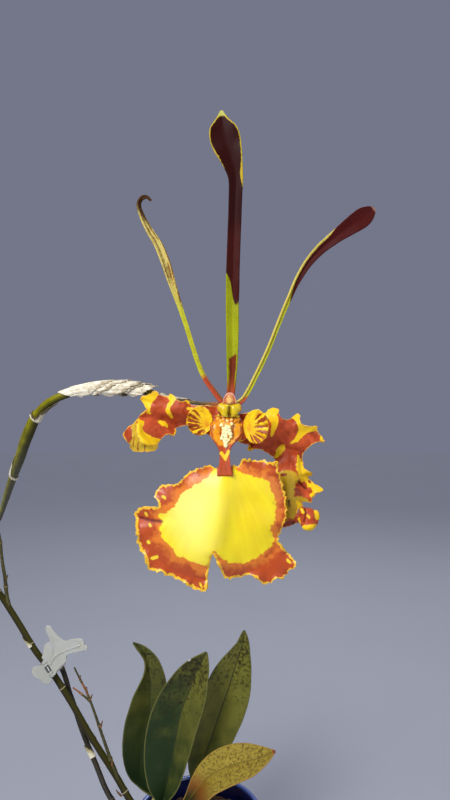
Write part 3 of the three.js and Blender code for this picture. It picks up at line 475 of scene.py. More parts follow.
def new_material(name, sockets):
    material = bpy.data.materials.new(name)
    material.use_nodes = True
    shader = material.node_tree.nodes["Principled BSDF"]
    for key, value in sockets.items():
        shader.inputs[key].default_value = value
    return material, material.node_tree, shader


def noise_of(tree, vector, scale, detail, **sockets):
    sockets = {"Vector": vector, "Scale": scale, "Detail": detail, **sockets}
    return put(tree, "TexNoise", sockets).outputs["Fac"]


def painted(tree, name):
    return put(tree, "Attribute", attribute_name=name).outputs["Fac"]


def sum_of(tree, operation, *values):
    return put(tree, "Math", dict(enumerate(values)), operation=operation).outputs["Value"]


def share_of(tree, value, low, high, **settings):
    """Where a value lies between low and high, from 0 to 1."""
    spread = {"Value": value, "From Min": low, "From Max": high}
    return put(tree, "MapRange", spread, **settings).outputs["Result"]


def mixed(tree, share, first, second):
    # A colour mix has its share in socket 0, its two colours in 6 and 7, and its result in output 2
    sockets = {0: share, 6: colour(first), 7: colour(second)}
    return put(tree, "Mix", sockets, data_type="RGBA").outputs[2]


def ramp(tree, share, stops):
    """Runs through the colours of these stops. The first two are its ends."""
    node = put(tree, "ValToRGB", {"Fac": share})
    elements = node.color_ramp.elements
    for element, (position, tint) in zip(list(elements), stops):
        element.position, element.color = position, colour(tint)
    for position, tint in stops[2:]:
        elements.new(position).color = colour(tint)
    return node.outputs["Color"]


def dress(tree, shader, tint, height, strength, relief):
    """Gives the shader its colour, and a bump of relief millimetres."""
    tree.links.new(tint, shader.inputs["Base Color"])
    bump = put(tree, "Bump", {"Height": height, "Strength": strength, "Distance": relief * MM})
    tree.links.new(bump.outputs["Normal"], shader.inputs["Normal"])


def tissue(name, light, dark, coats=(), patch=4.0, veins=(30, 3), relief=0.06, rough=0.5, shine=0.3, wax=0.0,
           wax_rough=0.03, glow=0.0):
    """A living or dried skin. Two tones are mixed in patches of patch millimetres and in veins across and
    along the piece. Coats lie over them: each is a painted name, a colour, how soft its edge is, and how
    far and in what size noise moves that edge."""
    material, tree, shader = new_material(name, {
        "Roughness": rough, "Specular IOR Level": shine, "Coat Weight": wax, "Coat Roughness": wax_rough,
        "Subsurface Weight": glow, "Subsurface Scale": MM})
    spot = put(tree, "TexCoord")
    at = spot.outputs["Object"]
    patches = noise_of(tree, at, 1 / (patch * MM), 4.0)
    stretched = put(tree, "Mapping", {"Vector": spot.outputs["UV"], "Scale": (*veins, 1)})
    fibres = noise_of(tree, stretched.outputs["Vector"], 1.0, 3.0)
    both = sum_of(tree, "ADD", patches, fibres)
    last = mixed(tree, share_of(tree, both, 0.75, 1.25), light, dark)
    for mark, tint, soft, reach, size in coats:
        jitter = noise_of(tree, at, 1 / (size * MM), 3.0)
        moved = sum_of(tree, "MULTIPLY_ADD", jitter, 2 * reach, -reach)
        edge = sum_of(tree, "ADD", painted(tree, mark), moved)
        cover = share_of(tree, edge, -soft, soft, interpolation_type="SMOOTHSTEP")
        last = mixed(tree, cover, last, tint)
    dress(tree, shader, last, both, 0.6, relief)
    return material


def glazed_stoneware(settings):
    # Glazed stoneware, dipped and fired: a deep gloss coat over a mottled cobalt glaze that breaks
    # lighter where it runs thin, and a bare matt foot
    material, tree, shader = new_material("cobalt glaze on stoneware", {
        "IOR": 1.5,
        "Coat Weight": 0.6,
        "Coat Roughness": 0.04,
    })
    at = put(tree, "TexCoord").outputs["Object"]
    cloud = noise_of(tree, at, 70.0, 6.0)
    tone = ramp(tree, cloud, [(0.35, "#0b123c"), (0.62, settings.glaze)])
    speck = noise_of(tree, at, 900.0, 2.0)
    glaze = mixed(tree, share_of(tree, speck, 0.66, 0.7), tone, "#05081c")
    edge = sum_of(tree, "ADD", painted(tree, "thin"), sum_of(tree, "MULTIPLY_ADD", cloud, 1.4, -0.7))
    broken = mixed(tree, share_of(tree, edge, -0.6, 0.9), glaze, "#3d5cae")
    bare = share_of(tree, painted(tree, "bare"), -0.1, 0.1)
    clay = mixed(tree, noise_of(tree, at, 1500.0, 3.0), settings.clay, "#7b5539")
    rough = put(tree, "MapRange", {"Value": bare, "To Min": 0.12, "To Max": 0.85})
    tree.links.new(rough.outputs["Result"], shader.inputs["Roughness"])
    dress(tree, shader, mixed(tree, bare, broken, clay), cloud, 0.5, 0.3)
    return material


def bark_chip():
    # Pine bark: broken, layered and matt, from dark brown to reddish tan, with flakes about 2 mm wide
    material, tree, shader = new_material("pine bark", {"Roughness": 0.92})
    spot = put(tree, "TexCoord")
    layers = put(tree, "Mapping", {"Vector": spot.outputs["Object"], "Scale": (1.0, 1.0, 2.6)})
    flakes = noise_of(tree, layers.outputs["Vector"], 420.0, 5.0, Roughness=0.65)
    tone = ramp(tree, flakes, [(0.3, "#1d130d"), (0.72, "#8a5f3f"), (0.52, "#4b3120")])
    dress(tree, shader, tone, flakes, 0.9, 0.9)
    return material


def moulded_plastic(settings):
    # Injection-moulded polypropylene: milky, lets some light through, with a soft sheen
    material, tree, shader = new_material("milky moulded polypropylene", {
        "Roughness": 0.32,
        "IOR": 1.49,
        "Transmission Weight": 0.35,
        "Coat Weight": 0.1,
        "Coat Roughness": 0.15,
    })
    cloud = noise_of(tree, put(tree, "TexCoord").outputs["Object"], 160.0, 3.0)
    dress(tree, shader, mixed(tree, cloud, settings.plastic, "#d4d9d6"), cloud, 0.3, 0.3)
    return material


def drawn_wire():
    # Drawn stainless wire: bright metal with fine lengthwise draw marks
    material, tree, shader = new_material("drawn stainless wire", {
        "Base Color": colour("#b9b9b6"), "Metallic": 1.0})
    spot = put(tree, "TexCoord")
    marks = put(tree, "Mapping", {"Vector": spot.outputs["UV"], "Scale": (40.0, 6.0, 1.0)})
    lines = noise_of(tree, marks.outputs["Vector"], 1.0, 2.0)
    rough = put(tree, "MapRange", {"Value": lines, "To Min": 0.2, "To Max": 0.42})
    tree.links.new(rough.outputs["Result"], shader.inputs["Roughness"])
    return material


# Pot


class ORCHID_OT_pot(bpy.types.Operator):
    """Turns the pot, with its rolled rim, foot ring and drain holes"""

    bl_idname = "orchid.pot"
    bl_label = "Pot"

    # The outline that is turned, as (radius, height), from the foot up the wall and down its inside
    WALL = [
        (25.4, 0.9), (26.4, 0.1), (27.4, 0), (30.4, 0), (31.4, 0.3), (32.4, 1.6), (33.2, 4.5), (34.8, 12),
        (37.6, 25), (39.8, 40), (41.9, 56), (43.4, 70), (44.1, 76.6), (44.9, 77.8), (46.2, 78.9),
        (46.9, 80.6), (47, 82.4), (46.9, 85), (46.3, 86.9), (45.2, 87.8), (44.2, 88), (43.2, 87.7),
        (42.6, 86.9), (42.3, 85.6), (41.6, 79), (40.4, 72), (38.4, 56), (36, 40), (33.6, 25), (31, 12),
        (29.6, 7), (27, 5.2), (24, 5),
    ]
    # Its height as drawn, and each drain hole's radius, distance out and middle height
    HEIGHT = 88.0
    DRAIN = (3.5, 16, 3)

    def execute(self, context):
        settings = context.scene.orchid_pot
        tall = settings.height / MM / self.HEIGHT
        deselect()
        radius, low = self.WALL[0]
        bpy.ops.mesh.primitive_circle_add(
            vertices=96, radius=radius * MM, fill_type="NGON", location=(0, 0, low * MM))
        bpy.ops.object.transform_apply(location=True, rotation=True, scale=True)
        pot = named("pot_glazed")

        def turn():
            for (r0, z0), (r1, z1) in zip(self.WALL, self.WALL[1:]):
                bpy.ops.mesh.extrude_region_move(TRANSFORM_OT_translate={"value": (0, 0, (z1 - z0) * MM)})
                bpy.ops.transform.resize(value=(r1 / r0, r1 / r0, 1), center_override=(0, 0, 0))
            bpy.ops.mesh.select_all(action="SELECT")
            bpy.ops.mesh.normals_make_consistent(inside=False)

        in_edit(pot, turn)
        radius, out, middle = self.DRAIN
        for angle in (45, 135, 225, 315):
            place = Matrix.Rotation(math.radians(angle), 3, "Z") @ Vector((out, 0, middle))
            cut_away(pot, rod(radius, 12, place), "EXACT")
        reshape(pot, places_of(pot) / MM * [1, 1, tall])
        modify(pot, "BEVEL", width=0.35 * MM, segments=2, limit_method="ANGLE", angle_limit=math.radians(50))
        points = places_of(pot) / MM
        round_out = np.hypot(points[:, 0], points[:, 1])
        rim = 1.6 - np.abs(points[:, 2] - self.HEIGHT * tall)
        paint(pot, {
            "thin": np.where(round_out > 40, rim, -2),
            "bare": np.where((round_out > 20) & (round_out < 34), 0.9 - points[:, 2], -1),
        })
        finish(pot, glazed_stoneware(settings), ["pot"], angle=35)
        return {"FINISHED"}


# Potting mix


class ORCHID_OT_mix(bpy.types.Operator):
    """Packs the bark mix, and lays loose chips on its top"""

    bl_idname = "orchid.mix"
    bl_label = "Potting mix"

    CHIPS = 190
    GOLDEN_ANGLE = 2.399963
    # The mix's top: its radius, its height, and how much lower it lies at the wall
    RADIUS, TOP, SINK = 37.4, 75.2, 0.9
    # Where bulbs and roots stand, and how far round them no chip lies
    STANDING = [(-31, 8, 11), (-24.5, -5, 11), (-5, 10, 11), (-11, -10, 11), (-31, -16, 5), (-25, -23, 4)]

    def broken(self, block, random):
        """Places of one chip: the block at the chip's own size, with ragged, layered faces."""
        size = np.array([random.uniform(5, 10), random.uniform(3.4, 6), random.uniform(1.4, 2.6)])
        points = block * size
        rough = wander(points, 3.4, random.uniform(0, 90))
        points += points / np.maximum(np.linalg.norm(points, axis=1), 0.1)[:, None] * rough[:, None] * 0.8
        points[:, 2] = np.round(points[:, 2] / 0.5 + rough) * 0.5 * 0.6 + points[:, 2] * 0.4
        return points

    def execute(self, context):
        random = np.random.default_rng(11)
        bark = bark_chip()
        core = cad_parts["potting_mix"]
        core.data.materials.clear()
        core.data.materials.append(bark)
        deselect()
        bpy.ops.mesh.primitive_cube_add(size=1)
        first = bpy.context.object
        in_edit(first, lambda: bpy.ops.mesh.subdivide(number_cuts=2, smoothness=0.6))
        block = places_of(first)
        chips = []
        for i in range(self.CHIPS):
            radius = self.RADIUS * math.sqrt((i + 0.5) / self.CHIPS)
            angle = i * self.GOLDEN_ANGLE
            x, y = radius * math.cos(angle), radius * math.sin(angle)
            if any(math.hypot(x - cx, y - cy) < reach * 0.8 for cx, cy, reach in self.STANDING):
                continue
            points = self.broken(block, random)
            turn = Matrix.Rotation(random.uniform(0, 6.28), 3, "Z")
            turn = turn @ Matrix.Rotation(random.uniform(-0.5, 0.5), 3, "X")
            turn = turn @ Matrix.Rotation(random.uniform(-0.4, 0.4), 3, "Y")
            level = self.TOP - self.SINK * (radius / self.RADIUS) ** 2 + random.uniform(0, 1.6)
            chip = first
            if chips:
                chip = first.copy()
                chip.data = first.data.copy()
                context.scene.collection.objects.link(chip)
            chips.append(chip)
            reshape(chip, points @ np.array(turn).T + np.array([x, y, level]))
        finish(join("bark_chips", chips), bark, angle=35)
        return {"FINISHED"}


# Roots and pseudobulbs

RHIZOME_LINES = [
    [(-33.5, 15, 72.5), (-29, 8, 73), (-23, -4, 73), (-10, -9, 73), (-1, -15, 73.5)],
    [(-17, -7, 72.8), (-9, 1, 73), (-5, 9, 73), (-3, 17, 73.5)],
]
ROOT_LINES = [
    [(-36, 13, 73), (-32, 22, 75.4), (-26, 28, 74.6), (-22, 31, 69)],
    [(-2, -14, 73.5), (8, -19, 76), (18, -19, 74.8), (24, -15, 69)],
    [(-8, 3, 73), (4, 3, 76), (14, 1, 74.8), (19, -3, 69)],
    [(-14, -9, 73), (-14, -21, 75.8), (-10, -29, 74.6), (-5, -32, 69)],
]


class ORCHID_OT_roots(bpy.types.Operator):
    """Grows the ringed rhizome and the roots that dive into the mix"""

    bl_idname = "orchid.roots"
    bl_label = "Rhizome and roots"

    def execute(self, context):
        parts = []
        for n, points in enumerate(RHIZOME_LINES):
            line = Line(points)

            def size(u, s):
                rings = 0.22 * np.exp(-((np.mod(s * line.length, 4.2) - 2.1) / 0.4) ** 2)
                ripple = 0.12 * np.sin(TURN * (5 * u + 3 * s))
                return 2.6 + rings + ripple

            parts.append(sheet(f"creeping_{n}", tube(line, size, (0, 0, 1), 2.2), 32, 120, True))
        # Dry scale leaves over a creeping stem: tan, matt and ringed every few millimetres
        scales = tissue(
            "dry rhizome scales", "#9c8b68", "#54452f", patch=2.0, veins=(26, 50), relief=0.25, rough=0.85)
        finish(join("rhizome_ringed", parts), scales, ["rhizome"])
        parts = []
        for n, points in enumerate(ROOT_LINES):
            line = Line(points)

            def size(u, s):
                return 1 + 0.1 * np.sin(11 * s + n) + 0.05 * np.sin(TURN * 3 * u)

            parts.append(sheet(f"root_{n}", tube(line, size, (0.2, 0.2, 1), 1.0), 16, 70, True))
        # Velamen, the spongy skin of an aerial root: silver-white when dry, with a greenish cast
        velamen = tissue("dry velamen", "#c9c8b4", "#8d9272", patch=3.0, veins=(6, 9), relief=0.1, rough=0.8)
        finish(join("aerial_roots", parts), velamen)
        return {"FINISHED"}


# Where each pseudobulb's foot and top stand
BULBS = {
    "pseudobulb_left": ((-29, 8), (-33, 7)),
    "pseudobulb_middle": ((-22.5, -5), (-26.5, -5)),
    "pseudobulb_right": ((-4.5, 9.5), (-6, 11)),
    "pseudobulb_front": ((-9, -9), (-13, -12)),
}
BULB_SWELL = profile([(0, 0.5), (0.15, 0.8), (0.4, 1), (0.65, 0.9), (0.85, 0.62), (1, 0.36)])


class ORCHID_OT_bulbs(bpy.types.Operator):
    """Swells the four flattened pseudobulbs, with lengthwise wrinkles and dry scraps at their feet"""

    bl_idname = "orchid.bulbs"
    bl_label = "Pseudobulbs"

    FACING = (0.87, -0.5, 0)

    def execute(self, context):
        settings = context.scene.orchid_foliage
        # Pseudobulb skin: smooth and waxy over lengthwise wrinkles, green with a reddish-brown flush
        skin = tissue("waxy pseudobulb skin", settings.bulb, "#3e3a1c", [
            ("flush", "#6b3a1e", 1.2, 1.2, 4),
            ("neck", "#a39a5c", 0.8, 0.5, 2),
        ], patch=3.0, veins=(24, 2), relief=0.12, rough=0.42, wax=0.15)
        # Dead sheath scraps: thin, straw-coloured and fibrous
        straw = tissue("dry bulb sheath", "#b7a377", "#6f5a39", patch=2.0, veins=(40, 2),
                       relief=0.15, rough=0.85)
        for n, (name, (foot, top)) in enumerate(BULBS.items()):
            middle = ((foot[0] + top[0]) / 2 + 0.4, (foot[1] + top[1]) / 2, 83)
            line = Line([(*foot, 70.5), middle, (*top, 95.5)])

            def size(u, s):
                fine = 0.022 * np.sin(TURN * 9 * u + 3 * n + 4 * s) + 0.018 * np.sin(TURN * 14 * u - n)
                wrinkled = BULB_SWELL(s) * (1 + fine * np.sin(np.pi * np.clip(s, 0, 1)) ** 0.5)
                return 8.5 * wrinkled, 5.0 * wrinkled

            def marks(u, s, points):
                return {"flush": 3.4 - 26 * s, "neck": 26 * (s - 0.93)}

            bulb = sheet(name + "_skin", tube(line, size, self.FACING, 2.0), 96, 64, True, marks)
            finish(bulb, skin, [name])

            def wrap(u, s):
                angle = TURN * (0.06 + 0.88 * u)
                ragged = 0.03 * np.sin(31 * u + n) + 0.02 * np.sin(57 * u)
                reach = 0.62 - 0.36 * np.abs(2 * u - 1) ** 1.4 + ragged
                share = 0.03 + reach * s * 0.8
                wide, deep = size(u, share)
                loose = 0.35 + 0.5 * s ** 2 + 0.12 * np.sin(TURN * 7 * u + n)
                return round_line(line, share, self.FACING, wide + loose, deep + loose, angle)

            scrap = sheet(name + "_sheath", wrap, 60, 20)
            thicken(scrap, 0.22 * MM, 0)
            finish(scrap, straw)
        return {"FINISHED"}


# Leaves

# Each leaf's midrib, the widths of its two halves, which way it faces, and how far its halves fold up
LEAVES = {
    "leaf_left": {
        "spine": [(-33.3, 7, 96.4), (-36.8, 8, 98.8), (-41.4, 9.4, 103), (-44.2, 10.6, 109.6),
                  (-43.2, 11.6, 124.2), (-40.5, 12, 142.2), (-38, 12, 155), (-37.5, 11.6, 169.4),
                  (-37.9, 10, 185.5), (-39.6, 7.6, 196.7), (-43, 4.4, 205), (-48.5, 0.5, 211.9)],
        "left": [(0, 3.4), (0.05, 4.4), (0.1, 6.1), (0.14, 9.4), (0.18, 12.3), (0.24, 15.1), (0.32, 16.8),
                 (0.4, 17.6), (0.5, 17.6), (0.6, 15), (0.7, 10), (0.78, 4.8), (0.84, 2.8), (0.9, 3),
                 (0.95, 2.6), (1, 0.5)],
        "right": [
            (0, 3.4), (0.05, 7), (0.1, 13), (0.14, 16.5), (0.18, 19), (0.24, 19.8), (0.4, 19.3), (0.5, 18.4),
            (0.6, 16.9), (0.7, 14.3), (0.78, 11.4), (0.84, 8.8), (0.9, 5.4), (0.95, 2.8), (1, 0.5),
        ],
        "facing": [(0, (-0.1, -1, 0.1)), (0.6, (0, -1, 0)), (0.85, (0.45, -0.9, 0)), (1, (0.3, -0.9, 0.3))],
        "fold": [(0, 72), (0.08, 58), (0.2, 34), (0.6, 28), (0.85, 34), (1, 20)],
    },
    "leaf_middle": {
        "spine": [(-26.7, -5, 96.4), (-25.8, -5, 101), (-24.2, -5, 107), (-21.6, -5, 117.9), (-19, -5, 131.7),
                  (-16.3, -5, 146.2), (-13.7, -5, 160), (-10.2, -5, 170.9), (-6.6, -5, 179.6),
                  (-2.2, -5, 191.9), (2.2, -6, 200.3), (5.8, -7, 208)],
        "left": [(0, 3.4), (0.04, 7.5), (0.08, 12), (0.12, 15), (0.18, 17.8), (0.26, 20.6), (0.34, 22.2),
                 (0.42, 23), (0.5, 22.9), (0.6, 21.8), (0.7, 19.8), (0.8, 16.1), (0.88, 11.2), (0.94, 7.2),
                 (1, 0.6)],
        "right": [(0, 3.4), (0.04, 7), (0.08, 10.5), (0.12, 12.6), (0.18, 14.2), (0.26, 15.6), (0.34, 17),
                  (0.42, 18.6), (0.5, 20.1), (0.6, 20.6), (0.7, 19.2), (0.8, 16.8), (0.88, 13.2), (0.94, 8.4),
                  (1, 0.6)],
        "facing": [(0, (-0.29, -0.96, 0)), (1, (-0.34, -0.94, 0))],
        "fold": [(0, 72), (0.08, 56), (0.2, 38), (0.6, 33), (1, 30)],
    },
    "leaf_right": {
        "spine": [(-6, 11, 96.4), (-3.4, 11.4, 101.6), (-0.3, 12.4, 110), (4.3, 13.4, 123.5),
                  (9.2, 14.4, 135.8), (13.4, 15.2, 148.2), (17, 16, 158.3), (21.7, 16, 171.2),
                  (25.3, 15.6, 183.4), (29.9, 14.2, 197.9), (32.6, 12.8, 206.6), (33.5, 11, 217.1)],
        "left": [(0, 3.4), (0.05, 7), (0.1, 11), (0.16, 14.4), (0.26, 17.2), (0.34, 19.3), (0.42, 20.8),
                 (0.5, 21.6), (0.6, 21.1), (0.7, 18.6), (0.8, 13.6), (0.86, 9), (0.92, 5.4), (0.96, 3.6),
                 (1, 0.5)],
        "right": [
            (0, 3.4), (0.05, 6.5), (0.1, 9.6), (0.16, 12.8), (0.26, 15.4), (0.34, 16.9), (0.42, 18.3),
            (0.5, 19.3), (0.6, 18.8), (0.7, 16.8), (0.8, 13), (0.86, 9.6), (0.92, 5.6), (0.96, 3.5), (1, 0.5),
        ],
        "facing": [(0, (0.1, -1, 0)), (1, (-0.05, -1, 0.1))],
        "fold": [(0, 72), (0.08, 54), (0.2, 36), (0.6, 28), (1, 26)],
    },
    "leaf_yellow": {
        "spine": [(-13.3, -12.3, 96.4), (-10.4, -13.6, 101), (-6.4, -15.6, 107), (1.4, -19, 118.6),
                  (10, -22, 128.6), (22.4, -27, 137.4), (31.2, -31, 142.4), (39.8, -35, 146.6),
                  (47.6, -38.6, 151.4), (52.6, -41, 155.8)],
        "left": [(0, 3), (0.06, 3), (0.14, 4.2), (0.2, 5.7), (0.28, 8), (0.36, 9.9), (0.44, 11.6),
                 (0.52, 12.8), (0.6, 13), (0.7, 12.1), (0.8, 10.2), (0.88, 7.4), (0.94, 4.6), (1, 0.4)],
        "right": [(0, 3), (0.06, 6), (0.14, 10.5), (0.2, 13.6), (0.28, 16), (0.36, 17), (0.44, 17.2),
                  (0.52, 16.6), (0.6, 15.8), (0.7, 14.6), (0.8, 12.2), (0.88, 8.4), (0.94, 4.6), (1, 0.4)],
        "facing": [(0, (-0.5, -0.8, 0.3)), (0.3, (-0.4, -0.66, 0.62)), (1, (-0.34, -0.6, 0.72))],
        "fold": [(0, 72), (0.1, 50), (0.25, 30), (0.6, 20), (1, 14)],
    },
}


class ORCHID_OT_leaves(bpy.types.Operator):
    """Shapes the four folded leathery leaves, with their mottling"""

    bl_idname = "orchid.leaves"
    bl_label = "Leaves"

    # How much more mottled the left half of each green leaf is, how much painted shade its left half has, how
    # much painted light its right half has, and how much painted light it has as a whole
    TONES = {
        "leaf_left": (0, -0.2, 0, -0.6),
        "leaf_middle": (0.14, 1.6, 0.5, -0.7),
        "leaf_right": (0, -0.2, 0, 0.2),
    }
    # White specks on two of the blades
    RESIDUE = [(0.8, [(-40.6, 208.8), (-41.6, 210.2)]), (0.6, [(-7.0, 202.1), (-6.2, 202.6)])]

    def execute(self, context):
        settings = context.scene.orchid_foliage
        # Leaf cuticle: waxy and leathery, dull green under reddish-brown mottles 2 to 4 mm across and a pale
        # edge, with painted shade down the crease along the midrib, towards the foot and on the left half,
        # and painted light on the right half and towards the tip
        cuticle = {"rough": 0.45, "shine": 0.2, "wax": 0.03, "wax_rough": 0.35}
        green = tissue("mottled leaf cuticle", settings.green, "#363f1b", [
            # The next two coats are painted shade and painted light
            ("deep", "#24361a", 1, 0.5, 14),
            ("sunny", "#77752f", 0.9, 0.7, 10),
            ("mottle", "#2e2b16", 0.3, 1, 2.4),
            # Painted shade along the crease of the midrib
            ("rim", "#66662f", 0.5, 0.3, 3),
            ("crease", "#2d3316", 0.5, 0.2, 4),
            ("residue", "#c9cabd", 0.25, 0.5, 1.2),
        ], patch=5.0, veins=(26, 4), relief=0.16, **cuticle)
        # The same leaf dying off: chlorophyll gone from the blade, brown flecks about 2 mm wide, with painted
        # shade towards its foot and down the crease along its midrib
        yellow = tissue("yellowed leaf cuticle", settings.yellow, "#978431", [
            ("mottle", "#5f4a1a", 0.35, 1, 1.7),
            ("flush", "#85501c", 9, 2.5, 4),
            # Painted shade towards the leaf's foot
            ("deep", "#3a3718", 7, 2, 6),
            ("rim", "#a5843a", 0.4, 0.3, 3),
            # Painted shade along the crease of the midrib
            ("crease", "#7a6a2a", 0.5, 0.2, 4),
            ("tip", "#8c3a22", 1.4, 0.5, 2),
        ], patch=3.0, veins=(26, 4), relief=0.16, **cuticle)
        for n, (name, leaf) in enumerate(LEAVES.items()):
            line = Line(leaf["spine"])
            left, right, fold = (profile(leaf[key]) for key in ("left", "right", "fold"))

            def lift(u, s):
                t = 2 * u - 1
                swell = columns(t * 9, s * 60, 3.0 * n)
                waves = 0.5 * wander(swell, 9.0, 5.0 * n) * np.abs(t)
                cupped = 0.05 * np.where(t < 0, left(s), right(s)) * (np.abs(t) ** 2 - np.abs(t))
                return waves + cupped

            def marks(u, s, points):
                t = 2 * u - 1
                width = np.where(t < 0, left(s), right(s))
                from_edge = width * (1 - np.abs(t))
                fields = {
                    "rim": 0.45 - from_edge,
                    # Painted shade along the crease of the midrib
                    "crease": 0.5 - width * np.abs(t),
                    "residue": strokes(points, self.RESIDUE),
                }
                if name == "leaf_yellow":
                    fields["mottle"] = -0.32 + 0.25 * s
                    fields["flush"] = 33 - line.length * s + 5 * t
                    # Painted shade towards the leaf's foot
                    fields["deep"] = 22 - line.length * s + 4 * t
                    fields["tip"] = 1.6 - line.length * (1 - s)
                else:
                    upper = np.clip((s - 0.35) / 0.5, 0, 1)
                    mottled, deep, bright, sunny = self.TONES[name]
                    fields["mottle"] = -0.62 + 0.55 * upper + mottled * (t < 0)
                    # Painted shade towards the foot and on the left half, painted light towards the tip and
                    # on the right half
                    fields["deep"] = 1.6 - 3.6 * s + deep * (t < 0)
                    fields["sunny"] = sunny + 1.1 * (s - 0.45) + bright * (t > 0)
                return fields

            shape = ribbon(line, turning(leaf["facing"]), left, right, fold, lift, 0.035)
            blade = sheet(name + "_blade", shape, 24, 84, False, marks)
            thicken(blade, settings.leaf_thickness)
            if name == "leaf_yellow":
                finish(blade, yellow, [name])
            else:
                finish(blade, green, [name])
        return {"FINISHED"}


# Flower spikes

SPIKE_LINE = Line([
    (-29, -16.5, 69), (-32, -16.3, 78), (-35.6, -15.5, 87), (-41, -14, 95.5), (-48.9, -12, 104.3),
    (-59.4, -9, 119.6), (-78.7, -6, 147.5), (-93.7, -4, 171.6), (-107.4, -2, 191.3), (-120, -1.5, 207.2),
    (-132.9, 0, 227.1), (-146.1, -1, 248.4), (-153.3, -14, 268), (-148, -34, 285), (-135.5, -58, 299),
    (-119.1, -87, 313), (-103.7, -117, 325.8), (-88, -152, 341), (-70.5, -192, 357.5), (-58.9, -218, 368),
    (-51.4, -233, 377), (-45.1, -241, 385.2), (-38.9, -245.3, 389.9), (-27.6, -247, 393.4),
    (-14.1, -248, 393.5), (-3.1, -248.5, 392),
])
SPIKE_WIDTH = profile([
    (0, 1), (0.3, 0.98), (0.5, 0.84), (0.65, 0.56), (0.76, 0.74), (0.81, 0.82), (0.875, 0.9), (0.9, 0.9),
    (0.912, 0.84), (0.925, 0.66), (0.95, 0.56), (1, 0.44),
])
SPIKE_FLATTEN = profile([(0, 1), (0.5, 0.97), (0.8, 0.72), (0.92, 0.68), (1, 0.8)])
SPIKE_JOINTS = (0.085, 0.16, 0.235, 0.304, 0.385, 0.47, 0.56, 0.655, 0.74, 0.817, 0.917)
# Each side branch's points, its radius at foot and tip, and its joints
BRANCHES = [
    ([(-139, -0.2, 238), (-141, 0, 246), (-142.4, 0, 259), (-144.6, 0, 273), (-145.7, -1, 288),
      (-148.3, -3, 302), (-150.5, -6, 314)], 1.5, 0.7, (0.2, 0.62)),
    ([(-57, -9.6, 116), (-59.6, -12, 126), (-63.1, -13.4, 136), (-68.6, -13.6, 152), (-73.9, -13, 167),
      (-79.6, -12, 181), (-84.5, -12, 190.5), (-88.9, -12, 199.5)], 1.4, 0.6, (0.22, 0.5, 0.72, 0.88)),
    ([(-76.3, -12.6, 174), (-80, -12.4, 177.4), (-85, -12.4, 181.5), (-90, -12, 184.8)], 0.9, 0.5, (0.55,)),
]
OLD_SPIKE_LINE = Line([
    (-22.5, -21.5, 69), (-26, -23, 79), (-29.5, -24, 87.5), (-36, -24.6, 93.6), (-44, -23.6, 97),
    (-53, -20.4, 101), (-60.9, -16.2, 107), (-66.7, -12.5, 113.9), (-71.8, -8.2, 122), (-77, -4.5, 130.7),
    (-81.2, -2, 138), (-85.9, 0, 147.9), (-89.1, 0.8, 156.3), (-92.1, 1.4, 165.5), (-95.7, 2, 174.8),
    (-98.2, 2.4, 183.5), (-101.4, 2.6, 192.1), (-105.8, 2.6, 199.6), (-110.2, 2.5, 206.6),
])
OLD_SPIKE_JOINTS = (0.16, 0.34, 0.53, 0.72, 0.9)
OLD_SPIKE_RADIUS = 1.85


def spike_size(s):
    wide = 2.3 * SPIKE_WIDTH(s)
    return wide, wide * SPIKE_FLATTEN(s)


def from_joint(line, s, joints):
    return np.min([np.abs(s - joint) for joint in joints], axis=0) * line.length


def swollen(line, s, joints, rise, width):
    """How much thicker a stem is at and near its joints."""
    return 1 + rise * np.exp(-(from_joint(line, s, joints) / width) ** 2)


